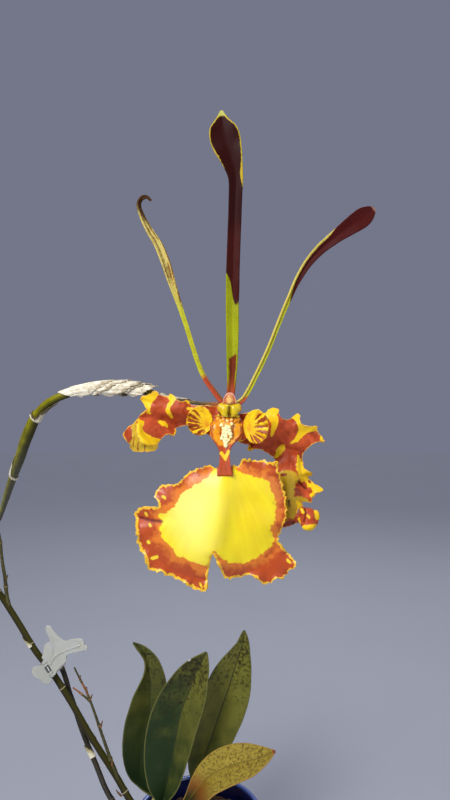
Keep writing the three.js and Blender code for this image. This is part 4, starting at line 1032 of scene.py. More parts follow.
class ORCHID_OT_spikes(bpy.types.Operator):
    """Grows the flowering spike with its side branches, and the older spike"""

    bl_idname = "orchid.spikes"
    bl_label = "Flower spikes"

    # Small pointed bracts on the branches: foot, tip and radius
    BRACTS = [
        ((-54.6, -12.4, 107.2), (-58.6, -14.4, 113.4), 1.1),
        ((-61.2, -14.6, 130), (-60.6, -15.8, 136.5), 0.9), ((-69.4, -14.8, 157), (-67.6, -16, 163.5), 1),
        ((-79.6, -13, 181.4), (-79.4, -14.2, 186.6), 1.2), ((-77, -13.4, 176.4), (-75.2, -14.2, 181.2), 0.9),
        ((-84.6, -12.8, 190.6), (-83.6, -13.6, 194.6), 0.8), ((-142, 0.6, 256), (-140, -0.6, 262.5), 0.9),
    ]

    def execute(self, context):
        # Green epidermis that hardens and darkens with age: satin, streaked lengthwise, with pale rings
        # where each joint's sheath grew
        skin = tissue("flower spike skin", "#918c12", "#67630c", [
            ("old", "#2f2a1a", 30, 12, 8),
            ("shade", "#3d3a10", 0.7, 0.25, 6),
            ("red", "#6e4420", 0.5, 0.5, 5),
            ("ring", "#b9ab86", 0.18, 0.12, 1.5),
        ], patch=6.0, veins=(16, 60), relief=0.08, rough=0.45, shine=0.12)

        def size(u, s):
            wide, deep = spike_size(s)
            swell = swollen(SPIKE_LINE, s, SPIKE_JOINTS, 0.11, 1.5)
            return wide * swell, deep * swell

        def marks(u, s, points):
            left = -np.cos(TURN * u)
            return {
                "old": 262 - s * SPIKE_LINE.length,
                "shade": -left - 0.1,
                "red": 1.6 * left - 1.5 - 9 * np.clip(0.8 - s, 0, 1),
                "ring": 0.28 - np.abs(from_joint(SPIKE_LINE, s, SPIKE_JOINTS) - 0.1),
            }

        stem = sheet("flower_spike_stem", tube(SPIKE_LINE, size, ends=1.2), 28, 460, True, marks)
        finish(stem, skin, ["flower_spike"])

        # Thin side shoots: green-brown, with dull orange and pink scars where buds dropped off
        shoot = tissue("side shoot skin", "#57542a", "#38311a", [
            ("scar", "#8d5a35", 0.6, 1, 1.4),
            ("ring", "#8f7f55", 0.2, 0.1, 1.2),
        ], patch=3.0, veins=(10, 24), relief=0.12, rough=0.55)
        parts = []
        for n, (points, foot, tip, joints) in enumerate(BRANCHES):
            line = Line(points)

            def thin(u, s):
                return (foot + (tip - foot) * s) * swollen(line, s, joints, 0.3, 1.1)

            def scars(u, s, points):
                bud = 5.2 - np.abs(points[:, 2] - 184) if n > 0 else -np.ones_like(s)
                return {"scar": 0.5 * bud - 0.4, "ring": 0.3 - from_joint(line, s, joints)}

            parts.append(sheet(f"shoot_{n}", tube(line, thin, ends=1.0), 14, 110, True, scars))
        for n, (foot, tip, radius) in enumerate(self.BRACTS):
            line = Line([foot, (np.array(foot) + tip) / 2 + [0, -0.5, 0], tip])

            def spear(u, s):
                slim = radius * (1 - s) ** 0.6 * (0.7 + 0.6 * s)
                return slim, slim * 0.6

            def dry(u, s, points):
                return {"scar": 0.6 - s, "ring": np.full_like(s, -1)}

            parts.append(sheet(f"bract_{n}", tube(line, spear, ends=0.6), 12, 18, True, dry))
        finish(join("side_shoots", parts), shoot)

        # The spent spike: woody, nearly black, with tan rings at its joints
        woody = tissue("woody spike skin", "#38301f", "#1d1912", [
            ("ring", "#6c6142", 0.25, 0.15, 1.5),
        ], patch=5.0, veins=(14, 40), relief=0.12, rough=0.5)

        def spent(u, s):
            return OLD_SPIKE_RADIUS * swollen(OLD_SPIKE_LINE, s, OLD_SPIKE_JOINTS, 0.12, 1.4)

        def old_rings(u, s, points):
            return {"ring": 0.3 - from_joint(OLD_SPIKE_LINE, s, OLD_SPIKE_JOINTS)}

        old = sheet("old_spike_stem", tube(OLD_SPIKE_LINE, spent, ends=1.4), 24, 260, True, old_rings)
        finish(old, woody, ["old_spike"])
        return {"FINISHED"}


def sleeve(line, size, start, end, skin, flare, side, opening, point, seed, torn, slant, taper=1):
    """Places of a dry sleeve round a stem, which stands skin clear of it. It is longest on the side that side
    names, in degrees, and its tip is torn. Slant is how much later it starts on the far side, as a share of
    its length, and taper is the share of its width that its point takes up."""
    def place(u, s):
        away = np.abs(2 * u - 1)
        ragged = 0.05 * np.sin(37 * u + seed) + 0.035 * np.sin(71 * u + 2 * seed) + 0.03 * np.sin(113 * u)
        reach = 1 - point * np.minimum(away / taper, 1) ** 1.25 + torn * ragged * (1 - 0.4 * away)
        share = start + (end - start) * (s * reach + slant * away ** 1.5 * (1 - s))
        angle = np.radians(side) + (2 * u - 1) * np.radians(180 - opening)
        wide, deep = size(share)
        wrinkle = 0.07 * np.sin(TURN * 9 * u + seed) + 0.05 * np.sin(TURN * 16 * u + 5 * s)
        grown = skin + flare * s ** 1.5 * (1 - 0.5 * away) + wrinkle
        return round_line(line, share, TO_VIEWER, wide + grown, deep + grown, angle)

    return place


class ORCHID_OT_sheaths(bpy.types.Operator):
    """Wraps the dry sheaths round the joints, and the papery bracts near the bloom"""

    bl_idname = "orchid.sheaths"
    bl_label = "Sheaths and bracts"

    # Start, end, gap, flare and pointed side of each bract
    BRACTS = [(0.9405, 0.975, 0.3, 1.5, 190), (0.948, 0.984, 0.6, 1.5, 170), (0.957, 0.99, 0.8, 1.3, 200),
              (0.967, 0.995, 0.8, 1.1, 165), (0.977, 0.999, 0.75, 0.8, 190)]

    def execute(self, context):
        # Dead bract tissue: thin as paper, silver-white to tan, with grey-brown fibres lengthwise
        paper = tissue("papery bract", "#f4eedb", "#cbbf9f", [
            ("frayed", "#9a8868", 0.25, 0.5, 1.5),
            ("spot", "#54473a", 0.2, 0.45, 1),
        ], patch=1.6, veins=(34, 2), relief=0.14, rough=0.8)
        # The older sheaths down the stems: the same tissue gone tan and olive, and still whole
        husk = tissue("old sheath husk", "#c9bf94", "#94885a", [
            ("frayed", "#5e5230", 0.3, 0.4, 1.5),
            ("spot", "#e6ddc0", 0.3, 0.4, 1.6),
        ], patch=1.6, veins=(26, 2), relief=0.12, rough=0.7)

        def frayed(u, s, points):
            return {"frayed": s - 0.93, "spot": -0.42 + 0.2 * np.abs(2 * u - 1)}

        def whole(u, s, points):
            return {"frayed": s - 0.92, "spot": 0.5 - s}

        def bleached(u, s, points):
            return {"frayed": s - 1.1, "spot": 0.8 - s}

        def browned(u, s, points):
            return {"frayed": 1.3 * s - 0.3, "spot": 0.35 - s}

        def old_size(s):
            return OLD_SPIKE_RADIUS, OLD_SPIKE_RADIUS

        # After the stem: start, end, gap, flare, pointed side, opening, point, slant and taper
        rings = [
            ("sheath_lower", whole, SPIKE_LINE, spike_size, 0.301, 0.318, 0.3, 0.2, 185, 75, 0.75, 0, 1),
            ("sheath_middle", bleached, SPIKE_LINE, spike_size,
             0.813, 0.862, 0.12, 0.1, 190, 3, 0.88, -0.04, 0.45),
            ("sheath_upper", browned, SPIKE_LINE, spike_size,
             0.915, 0.9385, 0.25, 0.15, -12, 3, 0.86, 0.03, 0.34),
            ("sheath_old_spike", whole, OLD_SPIKE_LINE, old_size, 0.515, 0.575, 0.3, 0.3, 200, 30, 0.7, 0, 1),
        ]
        for n, (name, marks, line, size, *form) in enumerate(rings):
            shape = sleeve(line, size, *form[:-2], n, 0.1, *form[-2:])
            piece = sheet(name + "_paper", shape, 96, 22, False, marks)
            thicken(piece, 0.2 * MM, 0)
            finish(piece, husk, [name])
        parts = []
        for n, form in enumerate(self.BRACTS):
            shape = sleeve(SPIKE_LINE, spike_size, *form, 22, 0.62, 2.0 * n + 1, 0.6, 0.3)
            piece = sheet(f"papery_{n}", shape, 72, 30, False, frayed)
            thicken(piece, 0.18 * MM, 0)
            parts.append(piece)
        finish(join("papery_bracts_overlapping", parts), paper, ["papery_bracts"])
        return {"FINISHED"}


# Bloom

PEDICEL_LINE = Line(np.array([
    (-22.6, 11.6, 3.5), (-19, 11, 2.3), (-14, 10.4, 1.2), (-9, 9, 0.5), (-5, 6.8, 0.2), (-2, 4.6, 0),
    (-0.4, 2.9, -0.2),
]) + FLOWER)


class ORCHID_OT_pedicel(bpy.types.Operator):
    """Draws the ribbed ovary that carries the bloom, with a frayed dry bract on it"""

    bl_idname = "orchid.pedicel"
    bl_label = "Pedicel"

    # Start, end and pointed side of each shred
    SHREDS = ((0.02, 0.3, 60), (0.14, 0.42, 200), (0.34, 0.56, 100))

    def execute(self, context):
        radius = profile([(0, 0.55), (0.5, 0.55), (0.8, 0.8), (1, 1.4)])

        def size(u, s):
            return radius(s) * (1 + 0.1 * np.cos(TURN * 6 * u) * np.clip((s - 0.4) * 3, 0, 1))

        def marks(u, s, points):
            return {"flush": 1.4 * (s - 0.75), "dry": 0.18 - s}

        # Ovary skin: dull green between six pale ribs, flushed red next to the bloom
        skin = tissue("ovary skin", "#6c5c34", "#3e321c", [
            ("flush", "#a35a33", 0.3, 0.1, 2),
            ("dry", "#b5aa90", 0.1, 0.1, 1.5),
        ], patch=2.0, veins=(12, 6), relief=0.06, rough=0.45)
        stalk = sheet("pedicel_ribbed", tube(PEDICEL_LINE, size, ends=0.6), 36, 90, True, marks)
        finish(stalk, skin, ["pedicel"])

        def girth(share):
            return radius(share), radius(share)

        parts = []
        for n, (start, end, side) in enumerate(self.SHREDS):
            shape = sleeve(PEDICEL_LINE, girth, start, end, 0.12, 0.35, side, 70, 0.8, 3.0 * n, 1, 0, 0.6)
            shred = sheet(f"shred_{n}", shape, 40, 16)
            thicken(shred, 0.12 * MM, 0)
            parts.append(shred)
        # Shreds of dead bract: grey-white, thin and fibrous
        grey = tissue("grey bract shreds", "#cfc8b4", "#8d8270", patch=1.0, veins=(20, 2),
                      relief=0.08, rough=0.85)
        finish(join("pedicel_shreds", parts), grey)
        return {"FINISHED"}


# The three tall segments: middle line, width to each side, which way they face, and how far they fold up
ANTENNAE = {
    "dorsal_sepal": {
        "spine": [(0.5, 1.4, 1), (0.9, 2.4, 5), (1.1, 3, 9), (1.3, 3.6, 18), (1.3, 4, 30), (1.5, 4, 42),
                  (1.9, 3.8, 54), (2.2, 3.4, 64), (2.3, 3, 71), (1, 2.6, 76.6), (-0.4, 2.4, 81),
                  (-1.6, 2.6, 86), (-2.1, 3, 91.8)],
        "width": [(0, 1.3), (0.06, 1.5), (0.15, 2), (0.4, 2.3), (0.68, 2.3), (0.76, 2.5), (0.81, 3.3),
                  (0.87, 4.6), (0.905, 4.9), (0.94, 4.2), (0.97, 2), (1, 0.35)],
        "facing": [(0, (0, -1, 0)), (1, (0, -1, 0))],
        "fold": [(0, 30), (0.3, 24), (0.75, 22), (0.88, 8), (1, 10)],
    },
    "petal_left": {
        "spine": [(-1.4, 1.4, 0.4), (-4, 2.1, 3.8), (-7.2, 2.6, 8.4), (-9.7, 3, 14.4), (-12.2, 3.4, 22.6),
                  (-15.2, 3.8, 31.6), (-17.5, 4, 38), (-19.6, 4, 44.4), (-22, 3.6, 50), (-24.8, 3, 54.6),
                  (-27, 2.4, 59), (-28, 1.6, 62.4), (-27.2, 0.8, 64.4), (-25.6, 0.6, 64.9), (-24, 1, 63.6)],
        "width": [(0, 0.95), (0.3, 0.95), (0.5, 1.15), (0.62, 1.6), (0.7, 1.65), (0.8, 1.3), (0.9, 0.95),
                  (0.96, 0.75), (1, 0.4)],
        "facing": [(0, (-0.5, -0.8, 0.2)), (0.4, (-0.6, -0.8, 0)), (0.62, (0.3, -0.95, 0)),
                   (0.85, (0.6, -0.8, 0)), (1, (0.8, -0.4, 0))],
        "fold": [(0, 30), (0.5, 36), (0.7, 22), (1, 30)],
    },
    "petal_right": {
        "spine": [
            (1.6, 1.4, -0.2), (4.2, 2, 1.4), (6, 2.4, 4), (8.8, 3, 9.6), (12.5, 3.4, 17.6), (15.6, 3.8, 25.5),
            (18.7, 4, 32.9), (21.4, 4, 38.8), (24.8, 4, 44.2), (28.6, 3.6, 48.4), (32.9, 3.2, 52),
            (37.2, 2.8, 55.1), (41.5, 2.6, 58.1), (44.4, 2.6, 60.4), (45.6, 2.6, 61.4),
        ],
        "width": [(0, 0.9), (0.3, 0.95), (0.5, 1.1), (0.66, 1.5), (0.8, 2.1), (0.88, 2.8), (0.94, 3.1),
                  (0.975, 2.2), (1, 0.7)],
        "facing": [(0, (0.5, -0.8, 0.2)), (0.45, (0.6, -0.8, 0)), (0.7, (0.2, -0.95, 0)), (1, (0, -1, 0))],
        "fold": [(0, 30), (0.5, 34), (0.75, 20), (0.92, 10), (1, 10)],
    },
}


def antenna_marks(name, line, width):
    """Painted numbers of the three tall segments: millimetres past the edge of each patch of colour."""
    slant = profile([(-1, 42), (-0.4, 39), (0, 35), (0.5, 32), (1, 33)])
    right_rim = profile([
        (0, -1), (0.7, -0.3), (0.74, 0.2), (0.765, 0.85), (0.79, 0.75), (0.82, 0.35), (0.94, 0.4),
        (0.975, 0.7), (1, 1.3),
    ])
    left_rim = profile([(0, -1), (0.78, -0.2), (0.84, 0.28), (0.94, 0.35), (0.98, 0.8), (1, 1.5)])

    def dorsal(u, s, points):
        t = 2 * u - 1
        z = points[:, 2] - FLOWER[2]
        from_edge = width(s) * (1 - np.abs(t))
        return {
            "base": np.minimum(15.4 - z + 0.8 * t, 4 * (0.72 - np.abs(t - 0.08))),
            "warm": 7 - z,
            "maroon": z - slant(t),
            "ruddy": np.minimum(0.12 * (56 - z), 0.6 * (z - slant(t))),
            "rim": np.where(t > 0, right_rim(s), left_rim(s)) - from_edge,
            "tip": z - 91.4,
        }

    def left(u, s, points):
        t = 2 * u - 1
        along = s * line.length
        fibres = wander(columns(t * 4, along * 0.12, 0), 1.0, 3.0)
        upper = np.clip((s - 0.42) / 0.2, 0, 1)
        return {
            "base": 11 - along,
            "dull": (s - 0.5) * 12,
            "streak": -0.75 + 0.6 * upper + 1.1 * fibres + 0.5 * np.clip(t, 0, 1) ** 4,
            "dry": along - 0.86 * line.length + 3 * t,
        }

    def right(u, s, points):
        t = 2 * u - 1
        along = s * line.length
        from_left = width(s) * (1 + t)
        return {
            "base": 4.5 - along + t,
            "maroon": along - 0.53 * line.length + 5 * t,
            "rim": 0.55 - from_left - 2 * np.clip(s - 0.8, 0, 1) * 10 + 0.3 * (s > 0.9),
            "tip": along - line.length + 0.7,
        }

    return {"dorsal_sepal": dorsal, "petal_left": left, "petal_right": right}[name]


class ORCHID_OT_antennae(bpy.types.Operator):
    """Raises the dorsal sepal and the two ribbon petals"""

    bl_idname = "orchid.antennae"
    bl_label = "Dorsal sepal and petals"

    def execute(self, context):
        thick = context.scene.orchid_bloom.petal_thickness
        petal = {"rough": 0.48, "shine": 0.07, "glow": 0.1}
        materials = {
            # Petal tissue: satin with fine lengthwise cells, maroon with a clear yellow-green middle
            "dorsal_sepal": ("petal_maroon", tissue(
                "dorsal sepal tissue", "#9c9f12", "#868a10", [
                    ("base", "#6a2810", 0.5, 0.6, 2),
                    ("warm", "#9a4420", 3, 1, 3),
                    ("maroon", "#2c0806", 0.4, 0.9, 2),
                    ("ruddy", "#3d0e08", 0.6, 0.5, 3),
                    ("rim", "#b9a028", 0.12, 0.4, 1),
                    ("tip", "#b9b55a", 0.5, 0.3, 1),
                ], patch=6.0, veins=(22, 3), relief=0.06, **petal)),
            # A petal that is drying from its tip: yellow-green, then streaked brown, then brown and curled
            "petal_left": ("petal_olive", tissue(
                "withering petal tissue", "#c9c62e", "#a9a826", [
                    ("base", "#b04e32", 1.2, 0.8, 2),
                    ("dull", "#ccb968", 1.5, 1, 3),
                    ("streak", "#7e5826", 0.3, 0.5, 0.9),
                    ("dry", "#4f341c", 3, 2, 2.5),
                ], patch=4.0, veins=(24, 3), relief=0.14, **petal)),
            # The same satin tissue, yellow-green below and maroon above, with a thin yellow edge
            "petal_right": ("petal_maroon", tissue(
                "right petal tissue", "#c3c22e", "#a3a422", [
                    ("base", "#b04e32", 0.9, 0.6, 2),
                    ("maroon", "#451210", 1.6, 1.2, 2.5),
                    ("rim", "#c9b652", 0.12, 0.3, 1.2),
                    ("tip", "#8a6a5a", 0.3, 0.2, 1),
                ], patch=5.0, veins=(18, 4), relief=0.06, **petal)),
        }
        for n, (name, blade) in enumerate(ANTENNAE.items()):
            line = Line(placed(blade["spine"]))
            width, fold = profile(blade["width"]), profile(blade["fold"])

            def lift(u, s):
                t = 2 * u - 1
                places = columns(t * 2, s * line.length, 7.0 * n)
                return 0.16 * width(s) * wander(places, 5.0, n) * np.abs(t) ** 2

            shape = ribbon(line, turning(blade["facing"]), width, width, fold, lift, 0.12)
            piece = sheet(name + "_blade", shape, 20, 150, False, antenna_marks(name, line, width))
            thicken(piece, thick)
            slot, material = materials[name]
            finish(piece, material, [name])
        return {"FINISHED"}


# Each lateral sepal as it is drawn from the front: its middle line with depths, its outline, the yellow and
# the reverse that its front shows, brown marks, folds (rise towards the viewer, width and path) and shade
LEFT_SEPAL = {
    "spine": [(-2.9, 2.6, -2.6), (-7, 3.2, -2.7), (-12, 3.8, -2.3), (-17, 4.2, -2.4), (-21.6, 4.2, -3.6),
              (-25, 3.4, -6.2), (-27.2, 2, -9.4), (-27.4, 0.4, -12.6)],
    "outline": [
        (-1.1, -3.2), (-2.7, -0.9), (-5.4, -0.2), (-10.3, -0.2), (-11.3, -0.2), (-12.1, 0.3), (-12.5, 1.4),
        (-13.1, 1.7), (-13.6, 1.2), (-14.4, 1.1), (-15.7, 1.6), (-16.2, 1.7), (-16.5, 2.5), (-17.2, 3.2),
        (-18.1, 3.3), (-18.7, 2.6), (-20, 2.6), (-21.2, 3.1), (-21.9, 4), (-23.3, 4.3), (-24, 3.8),
        (-25.2, 3.2), (-26.7, 2.7), (-27.3, 1.7), (-26.6, 1), (-26.1, -0.2), (-25.6, -1.5), (-27.1, -2.8),
        (-27.8, -3.9), (-28.5, -4.8), (-29.7, -5.9), (-31.1, -7), (-32.3, -8.2), (-32.7, -9.1),
        (-32.5, -10.1), (-31.6, -11.3), (-30.5, -12.3), (-30.4, -13.2), (-29.5, -14.1), (-27.8, -14.6),
        (-26.4, -14.4), (-24.8, -14.6), (-23.3, -14.3), (-22.3, -13.6), (-22.1, -12.5), (-21.4, -11.6),
        (-21, -10.7), (-20.4, -10), (-19.4, -9.4), (-17.9, -9.3), (-16.9, -9.8), (-16.5, -8.9), (-16.3, -7.9),
        (-16.8, -7.3), (-15.8, -6.8), (-14.4, -6.5), (-13.1, -6.3), (-11, -7.2), (-7.5, -7.9), (-4.7, -7.2),
        (-2.7, -6.1), (-1.1, -4.7),
    ],
    "waves": (1, 9),
    "yellow": [
        [(-21.8, 4.2), (-23.3, 4.4), (-25.2, 3.3), (-26.8, 2.8), (-27.5, 1.7), (-26.7, 1), (-26.1, -0.2),
         (-25.4, -1.5), (-25.4, -2.3), (-24.8, -2.8), (-24.1, -2.5), (-24.4, -1.3), (-24, -0.2), (-23.1, 1.3),
         (-21.9, 3), (-21.5, 3.6)],
        [(-18.8, 2.6), (-18.2, 3.4), (-17.1, 3.4), (-16.2, 1.7), (-16.9, 0.9), (-18.1, -1.3), (-17.7, -2.5),
         (-17.1, -3.6), (-17.5, -4.2), (-18.1, -3.5), (-19, -2.4), (-19.5, -1.6), (-19.1, -0.5),
         (-18.3, 1.1)],
        [(-21.9, -5.1), (-21.2, -4.8), (-19.8, -5.1), (-19, -6), (-18.9, -7.1), (-19.8, -6.8), (-20.8, -6.5),
         (-21.6, -5.9)],
        [(-28.6, -4.8), (-27.7, -4.5), (-27, -5.1), (-26.1, -5.3), (-26.5, -6.5), (-27, -7.1), (-26.6, -8),
         (-24.9, -9.4), (-23.2, -10.2), (-20.8, -10.7), (-21.2, -11.6), (-22.1, -12.3), (-23.8, -12.5),
         (-25.9, -12.1), (-27.3, -10.9), (-28.3, -8.5), (-28.4, -6.4), (-28.2, -5.3)],
        [(-13.7, 1.2), (-13.1, 1.9), (-12.4, 1.3), (-11.9, 0.3), (-12.7, 0.3), (-13.2, 0.7)],
        [(-13.1, -1), (-11.3, -0.8), (-10.2, -1.1), (-11.7, -1.6), (-12.9, -1.5)],
        [(-16.7, -7.3), (-16.2, -7.9), (-16.3, -8.9), (-16.9, -9.9), (-16.9, -9.1), (-16.7, -8.4)],
    ],
    "reverse": [
        (-28.6, -4.9), (-29.7, -5.8), (-30, -7), (-29.7, -8), (-30.7, -11.2), (-30.7, -12.3), (-30.5, -13.3),
        (-29.6, -14.2), (-27.8, -14.8), (-24.8, -14.8), (-23.2, -14.4), (-22.2, -13.6), (-22, -12.6),
        (-23.8, -12.5), (-25.9, -12.1), (-27.3, -10.9), (-28.3, -8.5), (-28.4, -6.4),
    ],
    "brown": [
        (0.2, [(-30, -8), (-30.4, -11.2)]), (0.2, [(-29, -9.4), (-29.5, -12.5)]),
        (0.2, [(-27.8, -11.5), (-28.1, -14.1)]), (0.16, [(-25.9, -12.5), (-26.1, -14.3)]),
    ],
    "folds": [
        (-1.3, 1.6, [(-27.8, -3.9), (-23.8, -4.3), (-18.9, -5), (-15.8, -6.2), (-12.7, -6)]),
        (1.6, 1.1, [(-28.1, -6), (-28.1, -9.1), (-26.8, -11.3), (-22.6, -12.4)]),
        (1.1, 3, [(-21, 0.4), (-15, -1.4)]),
    ],
    "shade": [(0.25, [(-12.5, -6.4), (-10.5, -5.6)])],
}
RIGHT_SEPAL = {
    "spine": [(1.1, 2.6, -7.2), (6.3, 3.4, -8.4), (11.5, 4.2, -8.8), (16, 5, -10), (18.9, 5.4, -14),
              (19.6, 5.6, -19), (19.6, 5.2, -25), (19.3, 4.4, -30), (19, 2.6, -36)],
    "outline": [
        (-0.9, -6.2), (1.1, -3.9), (5.3, -2.5), (8.4, -2.2), (11.5, -2.7), (12.7, -1.5), (14.1, -1),
        (15.9, -1.4), (15.7, -2.2), (16.6, -3.9), (18.2, -4.7), (19.6, -4.3), (21.3, -2.8), (22.4, -3.3),
        (22.5, -5.4), (23.7, -6.3), (25.8, -6.5), (27.6, -6.4), (27.8, -8), (28.9, -9.8), (30.2, -11.5),
        (28.3, -11.5), (26.3, -12.3), (24.5, -13.7), (23.3, -15.5), (23, -17), (23.8, -19.5), (25, -20.7),
        (26.4, -21.5), (24.8, -22.4), (26.1, -23.9), (27.8, -25.1), (29.6, -26.6), (27.7, -27.6),
        (26.1, -29.1), (25.8, -30.2), (24, -30), (22.7, -30.5), (23.3, -31.5), (22.2, -32.3), (21.5, -34),
        (21.3, -36.4), (20.2, -37.2), (16.8, -38), (16.5, -37.1), (15.7, -34.3), (15.3, -30.1), (14.6, -26),
        (14.4, -21.8), (15.4, -19), (14.2, -16.3), (12.5, -15.1), (10.5, -14), (8.4, -13.8), (6.6, -14.3),
        (5.9, -13.5), (6.6, -12.4), (3.7, -11.7), (1.1, -9.6),
    ],
    "waves": (1.2, 11),
    "yellow": [
        [(11.3, -3.1), (12.7, -1.2), (14.1, -0.8), (16.1, -1.2), (15.8, -2.3), (15.3, -2.7), (15.6, -4.3),
         (15.5, -6.2), (14.8, -7.8), (13.6, -10), (13.1, -9.8), (13.4, -7.8), (13.6, -5.7), (12.7, -4.3)],
        [(19.7, -4.1), (21.3, -2.6), (22.7, -3.2), (22.8, -5.4), (23.7, -6.1), (26, -6.3), (27.8, -6.2),
         (28.1, -7.9), (26.6, -8.2), (25.3, -8.4), (24, -9.1), (23, -10), (21.8, -11.2), (20.4, -11.8),
         (19.4, -11.8), (19.8, -11.2), (21.1, -9.5), (21.8, -7.8), (21.6, -6.2), (21.2, -5.2)],
        [(17.5, -12.1), (17.8, -13.5), (16.7, -15.1), (15.4, -16.5), (14.4, -16.2), (14.8, -15.3),
         (14.8, -14.3), (15.9, -12.7)],
        [(28.8, -9.6), (30.4, -11.6), (29.2, -11.7), (28.6, -11)],
        [(21.6, -15.6), (22.4, -16.9), (23.7, -19.5), (25, -20.5), (26.7, -21.5), (25.6, -22.3),
         (24.3, -22.5), (23, -23.9), (22.2, -22.9), (21.8, -21.3), (21.2, -19.7), (21.3, -17.7)],
        [(24, -22.4), (26.2, -23.7), (27.9, -24.9), (29.9, -26.6), (27.7, -27.8), (26.1, -28.8),
         (25.2, -28.2), (26.3, -27), (25.8, -26), (24.8, -25.6), (24.3, -24.5), (23.4, -23.4)],
        [(5.8, -12.3), (5.6, -13.6), (6.6, -14.5), (8.4, -14), (7.5, -13.5), (7.1, -12.7)],
        [(20.9, -29.9), (22.6, -30.4), (22.6, -32), (21.6, -34.2), (21, -34), (21.4, -31.8)],
    ],
    "reverse": [
        (16.3, -20.9), (17.8, -20.5), (21.1, -21), (21.9, -23.9), (20.6, -24.4), (20.8, -26.5), (20.2, -28.6),
        (21.9, -28.4), (24.3, -29), (25.9, -30.3), (24, -30.2), (21.9, -30.4), (21.3, -32.2), (20.7, -34.8),
        (18.8, -35.3), (18, -35.8), (16.7, -31.2), (16.2, -27), (15.7, -23.9),
    ],
    "brown": [
        (0.45, [(16.8, -21.8), (17.8, -21.8)]), (0.5, [(20.8, -26.3), (22, -27)]),
        (0.35, [(21.1, -27.8), (22.8, -27.9)]), (0.4, [(25.2, -23.6), (25.5, -24.1)]),
        (0.5, [(17.8, -37), (20.2, -36.2)]), (0.3, [(17.6, -31), (17.4, -34)]),
    ],
    "folds": [
        (1.5, 1, [(21.4, -15.9), (21.2, -19.7), (21.9, -22.9)]),
        (-1.3, 0.9, [(21.9, -24.9), (23.5, -26.5), (26.1, -27.8)]),
        (1.3, 2.2, [(14, -3.6), (17.5, -7.3), (22, -6)]),
        (-1.2, 1.2, [(15.5, -12.5), (20.4, -14.3), (22.6, -15.4)]),
        (1.2, 1.4, [(18, -22), (18.4, -29), (19, -35)]),
    ],
    "shade": [
        (0.28, [(21.8, -23.6), (24.2, -26)]), (0.3, [(18.8, -29.7), (19.1, -31.7)]),
        (0.25, [(20.2, -37), (21.2, -35)]),
    ],
}
LATERALS = {"lateral_sepal_left": LEFT_SEPAL, "lateral_sepal_right": RIGHT_SEPAL}
# The rolled tip of the right lateral sepal: lumps with centre and radii, its yellow spots and its creases
ROLLED_TIP = [
    ((25.1, 1, -35.5), (3.1, 2.5, 3.5)), ((23.4, 0.6, -33.3), (1.5, 1.6, 1.6)),
    ((27.2, 0.8, -34.6), (1.4, 1.5, 2)), ((25, -0.5, -37.7), (2.1, 1.4, 1.5)),
    ((21.9, 2.4, -35.2), (1.8, 0.8, 1.6)),
]
TIP_SPOTS = [
    (1.15, [(23.9, -38.6), (26.9, -38.2)]), (0.75, [(27.4, -33.4), (27.9, -35.2)]),
    (0.5, [(22.9, -32.5), (23.4, -33.4)]), (0.34, [(24.8, -34.4), (25.3, -35.2)]),
    (0.35, [(22, -35.4), (22.3, -36.8)]),
]
TIP_CREASES = [(0.16, [(24, -32.4), (24.2, -34), (23.6, -36.4)])]


